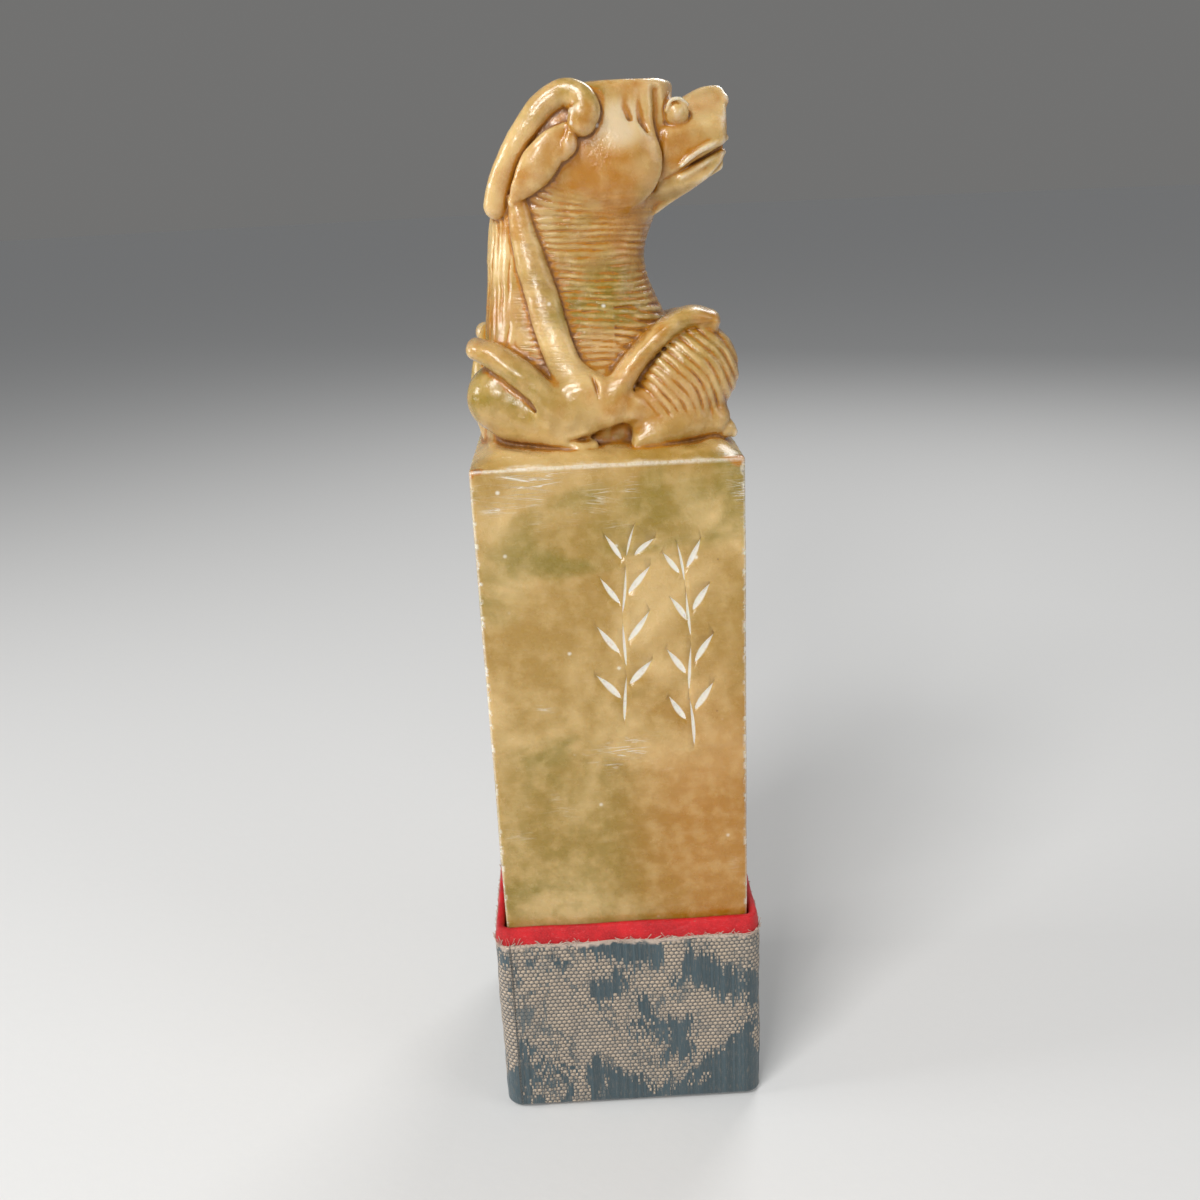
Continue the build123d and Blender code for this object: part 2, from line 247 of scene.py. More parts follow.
def spread(points, count):
    """A smooth line of count points through the given ones: each stretch is a Catmull-Rom cubic."""
    p = np.array(points, float)
    p = np.vstack([2 * p[0] - p[1], p, 2 * p[-1] - p[-2]])
    t = np.linspace(0, len(points) - 1, count)
    i = np.minimum(t.astype(int), len(points) - 2)
    u = (t - i)[:, None]
    a, b, c, d = (p[i + k] for k in range(4))
    return 0.5 * (2 * b + (c - a) * u + (2 * a - 5 * b + 4 * c - d) * u**2 + (3 * b - a - 3 * c + d) * u**3)


def shifted(points, along, up, out, half):
    """A strand's points moved, with one half width and thickness: a groove that follows its edge."""
    return tuple((x + along, z + up, y + out, half, half) for x, z, y, _, _ in points)


def smooth_union(a, b, radius):
    """The nearer of two distances, rounded where they meet: a fillet of about that radius."""
    h = np.clip(0.5 + 0.5 * (b - a) / radius, 0, 1)
    return b + (a - b) * h - radius * h * (1 - h)


class Carving:
    """The stone as distances on a grid, below 0 inside. Forms and their mirror images join it in order."""

    def __init__(self, low, high, cell):
        self.low = np.array(low, float)
        self.cell = cell
        self.axes = [np.arange(a, b + cell / 2, cell, dtype=np.float32) for a, b in zip(low, high)]
        self.field = np.full([len(axis) for axis in self.axes], FAR_AWAY, np.float32)

    def window(self, low=(-20, -20, -20), high=(20, 20, 40)):
        """The part of the grid between two corners, or all of it, and its coordinates ready to broadcast."""
        cuts = [
            slice(max(0, int((a - o) / self.cell)), max(0, int((b - o) / self.cell) + 2))
            for a, b, o in zip(low, high, self.low)
        ]
        x, y, z = (axis[cut] for axis, cut in zip(self.axes, cuts))
        return tuple(cuts), x[:, None, None], y[None, :, None], z[None, None, :]

    def sides(self, form, sides):
        """The window and distances of a form on the near side, the far side or both."""
        for side in sides:
            low, high = form.reach
            if side > 0:
                low, high = (low[0], -high[1], low[2]), (high[0], -low[1], high[2])
            cuts, x, y, z = self.window(low, high)
            yield cuts, form(x, -side * y, z)

    def add(self, form, fillet, sides=(-1, 1)):
        """Joins a form to the stone with a fillet."""
        for cuts, value in self.sides(form, sides):
            self.field[cuts] = smooth_union(self.field[cuts], value, fillet)

    def cut(self, form, fillet, sides=(-1, 1)):
        """Cuts a form out of the stone, and rounds the edge that it leaves."""
        for cuts, value in self.sides(form, sides):
            self.field[cuts] = -smooth_union(-self.field[cuts], value, fillet)


class Strand:
    """A band that follows a line on the beast's side.

    Each place's nearest point on the line is found in X and Z. With u how far it is there, v how far across
    the beast, w its half width and h its half thickness, the band is ((u/w)^p + (v/h)^p)^(1/p) = 1.
    """

    def __init__(self, points, power, side=None, drop=0.0):
        line = spread(points, STRAND_STEPS * len(points))
        if side is not None:
            line[:, 2] += side(line[:, 0], line[:, 1])
        line[:, 1] -= drop
        self.line, self.power = line, power
        wide, thick = line[:, 3:].max(0) + MARGIN
        self.reach = (
            (line[:, 0].min() - wide, -(line[:, 2].max() + thick), line[:, 1].min() - wide),
            (line[:, 0].max() + wide, -(line[:, 2].min() - thick), line[:, 1].max() + wide),
        )

    def __call__(self, x, y, z):
        flat_x, flat_z = np.broadcast_arrays(x[:, 0, :], z[0, :, :])
        away = (flat_x[..., None] - self.line[:, 0]) ** 2 + (flat_z[..., None] - self.line[:, 1]) ** 2
        near = away.argmin(-1)
        u = np.sqrt(np.take_along_axis(away, near[..., None], -1)[..., 0])[:, None, :]
        middle, w, h = (self.line[:, k][near][:, None, :] for k in (2, 3, 4))
        v = np.abs(y + middle)
        power = self.power
        shape = ((u / w) ** power + (v / h) ** power) ** (1 / power)
        return ((shape - 1) * np.minimum(w, h)).astype(np.float32)


class Tube:
    """A round cord along a line, with a radius at each point: the least of |place - point| - radius."""

    def __init__(self, points, margin=MARGIN):
        self.line = spread(points, TUBE_STEPS * len(points))
        wide = self.line[:, 3].max() + margin
        self.reach = tuple(self.line[:, :3].min(0) - wide), tuple(self.line[:, :3].max(0) + wide)

    def __call__(self, x, y, z):
        value = np.full(np.broadcast_shapes(x.shape, y.shape, z.shape), FAR_AWAY, np.float32)
        for a, b, c, r in self.line:
            value = np.minimum(value, np.sqrt((x - a) ** 2 + (y - b) ** 2 + (z - c) ** 2) - r)
        return value


class Egg:
    """An ellipsoid with half sizes r. With q the place over r, it is |q|(|q| - 1) / |q / r|."""

    def __init__(self, centre, half):
        self.centre, self.half = centre, half
        r = max(half) + MARGIN
        self.reach = tuple(tuple(c + s * r for c in centre) for s in (-1, 1))

    def __call__(self, x, y, z):
        x, y, z = x - self.centre[0], y - self.centre[1], z - self.centre[2]
        a, b, c = self.half
        q = np.sqrt((x / a) ** 2 + (y / b) ** 2 + (z / c) ** 2)
        slope = np.sqrt((x / a**2) ** 2 + (y / b**2) ** 2 + (z / c**2) ** 2) + 1e-6
        return (q * (q - 1) / slope).astype(np.float32)


class Facets:
    """A block between flat cuts, alike on both sides. Each cut is a place and the way that it faces.

    With d the distance outside each cut, it is (sum of max(d + edge, 0)^3)^(1/3) - edge, with rounded edges.
    """

    def __init__(self, cuts, edge, low, high):
        self.cuts = [(place, np.array(way, float) / np.linalg.norm(way)) for place, way in cuts]
        self.edge = edge
        self.reach = low, high

    def __call__(self, x, y, z):
        total = 0
        for place, way in self.cuts:
            d = (x - place[0]) * way[0] + (np.abs(y) - place[1]) * way[1] + (z - place[2]) * way[2]
            total = total + np.maximum(d + self.edge, 0) ** 3
        return (np.cbrt(total) - self.edge).astype(np.float32)


def trunk_at(z):
    """Middle and half size along X, and half depth, of the trunk at a height."""
    levels = spread(TRUNK_LEVELS, 200)
    rear, front, depth = (np.interp(z, levels[:, 0], levels[:, k]) for k in (1, 2, 3))
    return (rear + front) / 2, (front - rear) / 2, depth


def trunk_side(x, z):
    """How far the trunk's side is from the middle plane, at a place along X and a height."""
    middle, half, depth = trunk_at(z)
    share = np.clip(np.abs((x - middle) / half), 0, 0.96)
    return depth * (1 - share**TRUNK_POWER) ** (1 / TRUNK_POWER)


class Trunk:
    """Body, neck and head. At each height it is ((x/a)^p + (y/b)^p)^(1/p) = 1, and over it a flat crown."""

    reach = ((-14, -14, -3), (14, 14, 40))

    def __call__(self, x, y, z):
        middle, half, depth = (value.astype(np.float32) for value in trunk_at(z[0, 0]))
        p = TRUNK_POWER
        shape = ((np.abs(x - middle) / half) ** p + (np.abs(y) / depth) ** p) ** (1 / p)
        side = (shape - 1) * np.minimum(half, depth)
        crown = z - CROWN + 0.008 * (x - 3) ** 2 + 0.006 * y**2
        return -smooth_union(-side, -crown, 0.7)


class Ground:
    """The ground under the beast: a slope up from the column's edge, then low swells, highest behind it."""

    reach = ((-14, -14, -3), (14, 14, 5))
    half, slope = 12.42, 0.62

    def __call__(self, x, y, z):
        edge = self.half - (np.abs(x) ** 9 + np.abs(y) ** 9) ** (1 / 9)
        rise = 0.95 + 0.75 * smooth_step(y, -3, 6) + 0.5 * smooth_step(np.abs(x), 8, 12)
        swell = 0.12 * np.sin(0.9 * x + 0.4) * np.sin(0.8 * y + 1.1)
        top = smooth_union(self.slope * edge, rise + swell, 0.5)
        wall = np.maximum(np.abs(x), np.abs(y)) - self.half
        return np.maximum(np.maximum((z - top) * 0.8, wall), CARVING_FOOT - z).astype(np.float32)


SNOUT = Facets(
    (
        ((8.5, 3.95, 28.4), (-0.05, 0.65, 0.76)),
        ((8.8, 0, 30.9), (-0.52, 0, 1)),
        ((11, 0, 31.75), (0.02, 0, 1)),
        ((12.25, 0, 31.4), (1, 0, 0.8)),
        ((12.55, 0, 29), (1, 0.10, 0.02)),
        ((10.0, 3.95, 28), (0.16, 1, -0.10)),
        ((12.5, 3.2, 28), (1, 0.9, 0)),
        ((12.5, 0, 26.85), (0.447, 0, -0.894)),
        ((3.0, 0, 28), (-1, 0, 0)),
    ),
    0.50, (2.5, -5.5, 22), (13.6, 5.5, 33),
)
JAW = Facets(
    (
        ((12.4, 0, 26.3), (-0.38, 0, 0.926)),
        ((12.45, 0, 26), (1, 0.12, -0.1)),
        ((11.4, 0, 24.6), (0.747, 0, -0.664)),
        ((8.0, 0, 22.2), (0.50, 0, -0.87)),
        ((10.0, 3.35, 24), (0.16, 1, 0.10)),
        ((9.5, 2.9, 22.9), (0.3, 0.8, -0.8)),
        ((3.0, 0, 22), (-1, 0, 0)),
    ),
    0.40, (2.5, -5.0, 18), (13.6, 5.0, 28),
)
MOUTH_FILL = Facets(
    (
        ((12.0, 0, 26), (1, 0, 0)),
        ((9, 2.8, 25), (0.1, 1, 0)),
        ((9, 0, 27.5), (0, 0, 1)),
        ((9, 0, 22.8), (0.5, 0, -0.87)),
        ((3.0, 0, 25), (-1, 0, 0)),
    ),
    0.3, (2.5, -4, 20), (13.2, 4, 29),
)


CHEEK = Egg((2.6, -5.3, 25.4), (3.6, 1.15, 3.6))
EYE_SOCKET = Egg((7.65, -3.6, 29.35), (1.15, 0.80, 1.25))
EYEBALL = Egg((7.7, -3.95, 29.35), (0.70, 0.62, 0.80))
NOSTRIL = Egg((12.75, -1.15, 29.75), (0.34, 0.34, 0.28))


def sample(field, low, cell, points):
    """The field's value between its grid points: the weighted mean of the eight round each place."""
    place = (points - low) / cell
    base = np.clip(place.astype(int), 0, np.array(field.shape) - 2)
    part = np.clip(place - base, 0, 1)
    value = 0
    for corner in np.ndindex(2, 2, 2):
        weight = np.prod(np.where(corner, part, 1 - part), axis=1)
        value = value + weight * field[tuple((base + corner).T)]
    return value


def surface_nets(field, low, cell):
    """Closed mesh of the field's zero level: a point in each crossed cell, a quad over each crossed edge."""
    inside = field < 0
    size = [n - 1 for n in field.shape]
    corners = list(np.ndindex(2, 2, 2))
    count = sum(
        inside[i:i + size[0], j:j + size[1], k:k + size[2]].astype(np.int8) for i, j, k in corners
    )
    crossed = (count > 0) & (count < 8)
    index = np.full(size, -1, np.int64)
    index[crossed] = np.arange(crossed.sum())
    base = np.argwhere(crossed)
    total = np.zeros((len(base), 3))
    hits = np.zeros(len(base))
    values = {corner: field[tuple((base + corner).T)] for corner in corners}
    for corner in corners:
        for axis in range(3):
            if corner[axis]:
                continue
            other = tuple(1 if k == axis else corner[k] for k in range(3))
            a, b = values[corner], values[other]
            cut = (a < 0) != (b < 0)
            place = np.tile(np.array(corner, float), (len(base), 1))
            place[:, axis] = np.where(cut, a / np.where(cut, a - b, 1), 0)
            total += place * cut[:, None]
            hits += cut
    points = (base + total / hits[:, None]) * cell + low
    quads = []
    for axis in range(3):
        u, v = (axis + 1) % 3, (axis + 2) % 3
        before, after = [slice(None)] * 3, [slice(None)] * 3
        before[axis], after[axis] = slice(0, -1), slice(1, None)
        starts = np.argwhere(inside[tuple(before)] != inside[tuple(after)])
        corners_at = []
        for du, dv in ((-1, -1), (0, -1), (0, 0), (-1, 0)):
            cell_at = starts.copy()
            cell_at[:, u] += du
            cell_at[:, v] += dv
            corners_at.append(index[tuple(cell_at.T)])
        quad = np.stack(corners_at, 1)
        outward = inside[tuple(starts.T)]
        quads.append(np.where(outward[:, None], quad, quad[:, ::-1]))
    return points, np.concatenate(quads)


def ripple(phase):
    """Hair cut side by side: (1/2 - cos(2 pi phase) / 2)^2.2, 0 on broad ridges and 1 in narrow grooves."""
    return (0.5 - 0.5 * np.cos(2 * np.pi * phase)) ** 2.2


def neck_hair(stone):
    """Rings of hair round the neck and belly."""
    cuts, x, y, z = stone.window((-12, -10, 6.5), (8, 10, 27))
    wobble = 0.10 * np.sin(0.55 * x + 0.5 * z) + 0.10 * np.sin(1.3 * z)
    wobble = wobble + 0.04 * np.sin(1.9 * x + 1.7 * z + 1.3)
    tilt = 0.07 + 0.5 * smooth_step(z, 20.0, 25)
    step, depth = NECK_HAIR
    phase = (z + tilt * (x + 4) + wobble) / step
    strength = 0.62 + 0.38 * np.sin(1.1 * x + 3.1 * z) * np.sin(0.6 * x - 4.3 * z + 1)
    front = smooth_step(x, -7.6, -5.5)
    fade = smooth_step(z, 7.0, 9.0) * (1 - smooth_step(z + 0.55 * x, 20.5, 23.5))
    stone.field[cuts] += (depth * ripple(phase) * strength * front * fade).astype(np.float32)


def back_hair(stone):
    """Upright hair down the back."""
    cuts, x, y, z = stone.window((-13, -10, 8), (-4, 10, 31))
    wobble = 0.12 * np.sin(0.7 * z) + 0.06 * np.sin(1.9 * z + 1.5 * y)
    around = np.arctan2(y, -(x + 4.5)) * 6.2
    strength = 0.65 + 0.35 * np.sin(0.9 * z + 2.2 * around)
    back = (1 - smooth_step(x, -8.2, -6.8)) * smooth_step(z, 8.5, 12)
    step, depth = BACK_HAIR
    stone.field[cuts] += (depth * ripple((around + wobble) / step) * strength * back).astype(np.float32)


def knee_hair(stone):
    """Hair over each knee: arcs about the paw, cut deeper here and there."""
    cuts, x, y, z = stone.window((1.5, -12, 2.0), (13.5, 12, 13))
    reach = np.sqrt((x - 1.2) ** 2 + (z - 1.6) ** 2)
    wobble = 0.08 * np.sin(1.1 * x - 0.8 * z) + 0.05 * np.sin(2.1 * reach)
    strength = 0.75 + 0.25 * np.sin(1.3 * x - 1.1 * z + 3.3 * reach)
    shown = smooth_step(reach, 3.2, 5.0) * smooth_step(np.abs(y), 1.0, 3.0) * smooth_step(z, 3.0, 4.8)
    step, depth = KNEE_HAIR
    stone.field[cuts] += (depth * strength * ripple((reach + wobble) / step) * shown).astype(np.float32)


def hand_cut(stone):
    """The slight unevenness of a surface shaped by hand: low waves in all directions."""
    _, x, y, z = stone.window()
    waves = 0.045 * np.sin(1.3 * x + 0.5) * np.sin(1.1 * y + 2.0) * np.sin(1.2 * z + 0.9)
    waves = waves + 0.025 * np.sin(2.7 * x + 1.1 * z) * np.sin(2.9 * y + 0.4) * np.sin(2.4 * z - 0.7 * x)
    stone.field += waves.astype(np.float32)


def foot_of_carving(stone):
    """Ends the carving inside the column: nothing below its foot, nor outside the column's sides below 0."""
    _, x, y, z = stone.window()
    wall = np.maximum(np.abs(x), np.abs(y)) - Ground.half - 4 * np.maximum(z - 0.1, 0)
    stone.field = np.maximum(stone.field, np.maximum(wall, CARVING_FOOT - z)).astype(np.float32)


def add_body(stone):
    """Trunk, haunches, knees and fore legs, with their hair."""
    stone.add(Trunk(), 0.01, NEAR)
    neck_hair(stone)
    back_hair(stone)
    stone.add(Strand(HAUNCH, 2.3), 0.35)
    for sides, drop in DROPS:
        stone.add(Strand(KNEE, 2.5, drop=drop), 0.5, sides)
        stone.add(Strand(FORE_LEG, 2.3, drop=drop / 3), 0.8, sides)
    knee_hair(stone)


def add_face(stone):
    """Muzzle, jaw, cheeks, brow, eyes, lips and nose."""
    stone.add(SNOUT, 0.25, NEAR)
    stone.add(JAW, 0.25, NEAR)
    stone.add(MOUTH_FILL, 0.1, NEAR)
    stone.add(CHEEK, 1.2)
    for groove in BROW_GROOVES:
        stone.cut(Strand(groove, 2.0, trunk_side), 0.4)
    stone.cut(Tube(EYE_RING, CUT_MARGIN), 0.25)
    stone.add(EYE_SOCKET, 0.25)
    stone.add(EYEBALL, 0.06)
    for fillet, line in FACE_LINES:
        stone.add(Tube(line), fillet)
    stone.cut(Tube(NOSE_LINE, CUT_MARGIN), 0.15, NEAR)
    stone.cut(NOSTRIL, 0.12)
    for line in MOUTH_FOLDS:
        stone.cut(Tube(line, CUT_MARGIN), 0.15)


def add_strands(stone):
    """What lies over the body: locks, horns, ears, thigh bands and tail, and the cuts beside them."""
    for points, power, fillet in (
        (LOCK, 2.2, 0.12), (HORN, 2.3, 0.07), (EAR, 2.8, 0.10), (EAR_NUB, 2.1, 0.10),
    ):
        stone.add(Strand(points, power, trunk_side), fillet)
    stone.add(Strand(BELLY, 3.0), 1.2)
    stone.add(Strand(REAR_THIGH, 2.5), 0.55)
    stone.cut(Strand(shifted(REAR_THIGH[1:-1], -0.80, -1.15, 1.15, 0.24), 2.0), 0.2)
    for sides, drop in DROPS:
        stone.add(Strand(FORE_THIGH, 2.5, drop=drop), 0.45, sides)
        groove = shifted(FORE_THIGH[:-1], 0.80, -0.80, 1.0, 0.18)
        stone.cut(Strand(groove, 2.0, drop=drop), 0.2, sides)
    stone.cut(Strand(RECESS, 2.0), 0.45)
    stone.cut(Strand(CREASE, 2.0), 0.15)
    stone.add(Tube(TAIL), 0.3, NEAR)
    stone.add(Tube(TAIL_CURL), 0.3)


def beast_carving(cell):
    """The whole carving. The number after each form is the fillet where it joins, in mm."""
    stone = Carving((-13.4, -13.4, -1.7), (14.0, 13.4, 33.6), cell)
    add_body(stone)
    add_face(stone)
    stone.add(Ground(), 0.35, NEAR)
    for across in TOES:
        stone.add(Egg((10.9, across, 1.75), (1.35, 0.85, 0.95)), 0.12)
        stone.add(Egg((12.0, across, 1.35), (0.42, 0.42, 0.5)), 0.10)
    add_strands(stone)
    hand_cut(stone)
    foot_of_carving(stone)
    return stone


def beast_surface(cell):
    """The carving's points and quads in mm, with each point drawn onto the zero level along the slope."""
    stone = beast_carving(cell)
    points, quads = surface_nets(stone.field, stone.low, cell)
    step = 0.5 * cell
    for _ in range(2):
        slope = np.stack([
            sample(stone.field, stone.low, cell, points + step * axis)
            - sample(stone.field, stone.low, cell, points - step * axis) for axis in np.eye(3)
        ], 1) / (2 * step)
        value = sample(stone.field, stone.low, cell, points)
        move = value[:, None] * slope / np.maximum((slope**2).sum(1), 0.2)[:, None]
        points = points - np.clip(move, -0.4 * cell, 0.4 * cell)
    return points, quads, stone


# Levels over the table and half widths of the seal and its case in mm, as the frame has them
COLUMN_TOP = 70.0
COLUMN_FOOT = 3.80
HALF_STONE = 12.5
CORNER_CENTRE = 12.0
HALF_SOCKET = 12.65
HALF_BOARD_IN = 12.8
HALF_BOARD_OUT = 13.3
HALF_LIP = 13.45
HALF_CASE = 13.7
LIP_TOP = 22.3
LIP_ROUND = 0.4
HEM = 18.1
FLOOR_TOP = 1.45
CLOTH_TOP = 20.6
CLOTH_FOOT = 0.2
CLOTH_THICK = 0.25
TURN_IN = 4.5
COVER_TOP = 3.8
COVER_HALF = 12.55
COTTON_TOP = 3.62
COTTON_HALF = 12.38

# The outer cloth's knots, in mm
KNOT_WIDTH = 0.52
KNOT_HEIGHT = 0.43

# Worn places on the column's edges, in mm: along X, Y, height over the column's top, radius that is gone
SCOOPS = (
    (12.9, -12.9, -1.1, 0.95),
    (12.75, -12.8, -2.6, 0.62),
    (12.6, -13.0, -0.1, 0.75),
    (-12.9, -12.8, -0.1, 0.75),
    (-11.6, -12.95, 0.25, 0.62),
    (-5.2, -12.95, 0.25, 0.50),
    (4.6, -12.95, 0.30, 0.55),
    (-12.85, 12.85, -0.4, 0.85),
    (12.9, 12.9, -4.0, 0.75),
    (12.95, 5.0, 0.2, 0.55),
    (-12.95, -3.0, 0.3, 0.60),
)

# Stains on the front's upper corners, in mm: along X, Y, height over the top, radius; how dark from 0 to 1
STAINS = (
    (-11.7, -12.4, 0.15, 0.75, 1.0),
    (-12.4, -12.4, -0.3, 0.60, 0.7),
    (11.9, -12.4, 0.1, 1.20, 0.55),
    (10.9, -12.3, 0.3, 0.80, 0.45),
)

# Knife-cut sprigs on the front, in mm: each stroke's start and end in X and height, and its half width
STROKES = (
    (0.6, 44.5, 1.0, 49.6, 0.22),
    (1.0, 50.2, 0.8, 55.0, 0.22),
    (0.8, 55.6, 1.3, 60.6, 0.20),
    (1.4, 61.2, 2.3, 64.4, 0.17),
    (0.4, 47.0, -2.0, 49.6, 0.42),
    (1.2, 48.4, 3.5, 50.9, 0.44),
    (0.5, 51.6, -1.7, 54.6, 0.42),
    (1.2, 52.8, 3.4, 55.9, 0.40),
    (0.7, 56.6, -1.2, 59.4, 0.38),
    (1.4, 57.6, 3.6, 60.3, 0.40),
    (1.0, 60.9, -0.6, 63.5, 0.34),
    (2.1, 61.3, 4.1, 62.9, 0.32),
    (7.3, 41.6, 6.9, 46.8, 0.22),
    (6.9, 47.4, 7.2, 52.4, 0.22),
    (7.2, 53.0, 6.8, 57.9, 0.20),
    (6.7, 58.5, 6.0, 62.6, 0.17),
    (6.6, 44.4, 4.9, 47.1, 0.38),
    (7.4, 45.4, 9.3, 48.3, 0.42),
    (6.7, 49.2, 4.8, 51.9, 0.40),
    (7.5, 50.3, 9.4, 53.3, 0.40),
    (6.9, 54.6, 5.2, 57.2, 0.36),
    (7.4, 55.6, 9.1, 58.3, 0.38),
    (6.3, 59.3, 4.7, 61.5, 0.32),
    (6.9, 59.8, 8.3, 62.7, 0.34),
)
STROKE_DEPTH = 0.30
STROKE_STEPS = 15

# Edges of the stone that turn by more degrees than this look sharp
SHARP_FROM = 42

# Loose threads at the outer cloth's edge: how many, how many of them are long, and each one's steps and sides
FRAYS = 620
LONG_FRAYS = 12
FRAY_STEPS = 6
FRAY_SIDES = 4

# How many of the stone's clouds there are to a mm, and the middle of the painted brow highlight along X and
# height, in mm
CLOUD_SCALE = 0.085
BROW_HIGHLIGHT = (2.6, 98.6)

# Base colours, linear; amber also stands for painted shade in hollows, cream and powder for painted highlights
COLOURS = {
    "stone": (0.385, 0.222, 0.038),
    "cream": (0.69, 0.48, 0.205),
    "olive": (0.24, 0.168, 0.010),
    "amber": (0.43, 0.165, 0.005),
    "patina": (0.12, 0.038, 0.008),
    "blush": (0.60, 0.34, 0.14),
    "powder": (0.80, 0.76, 0.66),
    "satin": (0.66, 0.010, 0.016),
    "brocade": (0.50, 0.39, 0.28),
    "figure": (0.036, 0.060, 0.070),
    "thread": (0.64, 0.50, 0.40),
    "card": (0.47, 0.40, 0.30),
    "kraft": (0.50, 0.36, 0.22),
    "cotton": (0.80, 0.76, 0.66),
    "floor": (0.76, 0.755, 0.74),
}


def mesh_object(name, points, faces, uv=None):
    """A mesh at the origin from points in mm and faces with three or four corners."""
    mesh = bpy.data.meshes.new(name)
    mesh.from_pydata((np.asarray(points) * MM).tolist(), [], [list(face) for face in faces])
    if uv is not None:
        layer = mesh.uv_layers.new(name="cloth")
        corner = np.empty(len(mesh.loops), np.int32)
        mesh.loops.foreach_get("vertex_index", corner)
        layer.data.foreach_set("uv", np.asarray(uv, np.float32)[corner].ravel())
    mesh.shade_smooth()
    made = bpy.data.objects.new(name, mesh)
    bpy.context.scene.collection.objects.link(made)
    return made


def finish_modifiers(piece):
    """Works the modifiers into the piece's mesh."""
    evaluated = piece.evaluated_get(bpy.context.evaluated_depsgraph_get())
    mesh = bpy.data.meshes.new_from_object(evaluated)
    piece.modifiers.clear()
    old, piece.data = piece.data, mesh
    bpy.data.meshes.remove(old)
    mesh.name = piece.name


def grid_faces(rows, columns, wrap_rows=True, wrap_columns=True):
    """Quads between a grid's points, row by row. If wrapped, the last row or column joins the first."""
    i = np.arange(rows if wrap_rows else rows - 1)[:, None]
    j = np.arange(columns if wrap_columns else columns - 1)[None, :]
    after_i, after_j = (i + 1) % rows, (j + 1) % columns
    corners = (i * columns + j, after_i * columns + j, after_i * columns + after_j, i * columns + after_j)
    return np.stack(np.broadcast_arrays(*corners), -1).reshape(-1, 4)


def square_path(step, turns):
    """Places round a square with half side CORNER_CENTRE, seen from above against the clock.

    Gives each place's base point, the way that it faces, and its distance along the outer cloth. Along a side
    the places are step apart. At a corner the base stands still while the way turns a quarter in those turns.
    """
    count = int(round(2 * CORNER_CENTRE / step))
    along = np.linspace(-CORNER_CENTRE, CORNER_CENTRE, count + 1)
    turn = np.linspace(0, np.pi / 2, turns + 1)[1:-1]
    base = np.concatenate([
        np.stack([along, np.full_like(along, -CORNER_CENTRE)], 1),
        np.tile([CORNER_CENTRE, -CORNER_CENTRE], (len(turn), 1)),
    ])
    way = np.concatenate([np.tile([0.0, -1.0], (len(along), 1)), np.stack([np.sin(turn), -np.cos(turn)], 1)])
    bases, ways = [], []
    for _ in range(4):
        bases.append(base)
        ways.append(way)
        base = np.stack([-base[:, 1], base[:, 0]], 1)
        way = np.stack([-way[:, 1], way[:, 0]], 1)
    base, way = np.concatenate(bases), np.concatenate(ways)
    outer = base + way * (HALF_CASE - CORNER_CENTRE)
    gone = np.linalg.norm(np.diff(outer, axis=0), axis=1)
    return base, way, np.concatenate([[0], np.cumsum(gone)])


def carried(profile, path):
    """A profile of half sizes and heights carried round the square path: base + way * (half - CORNER_CENTRE).

    Inside the corners' centres the base draws in instead, and the corners keep a radius of 0.2 mm.
    """
    base, way, _ = path
    half, height = np.asarray(profile, float).T
    radius = np.maximum(half - CORNER_CENTRE, np.minimum(0.2, half / 4))
    share = (half - radius) / CORNER_CENTRE
    points = np.zeros((len(base), len(half), 3))
    points[..., :2] = base[:, None] * share[None, :, None] + way[:, None] * radius[None, :, None]
    points[..., 2] = height
    return points


def arc(centre, radius, start, end, count):
    """Points of an arc in a profile, with angles in degrees from the outward way towards up."""
    angle = np.radians(np.linspace(start, end, count))
    return [(centre[0] + radius * np.cos(a), centre[1] + radius * np.sin(a)) for a in angle]


# Column and cutters

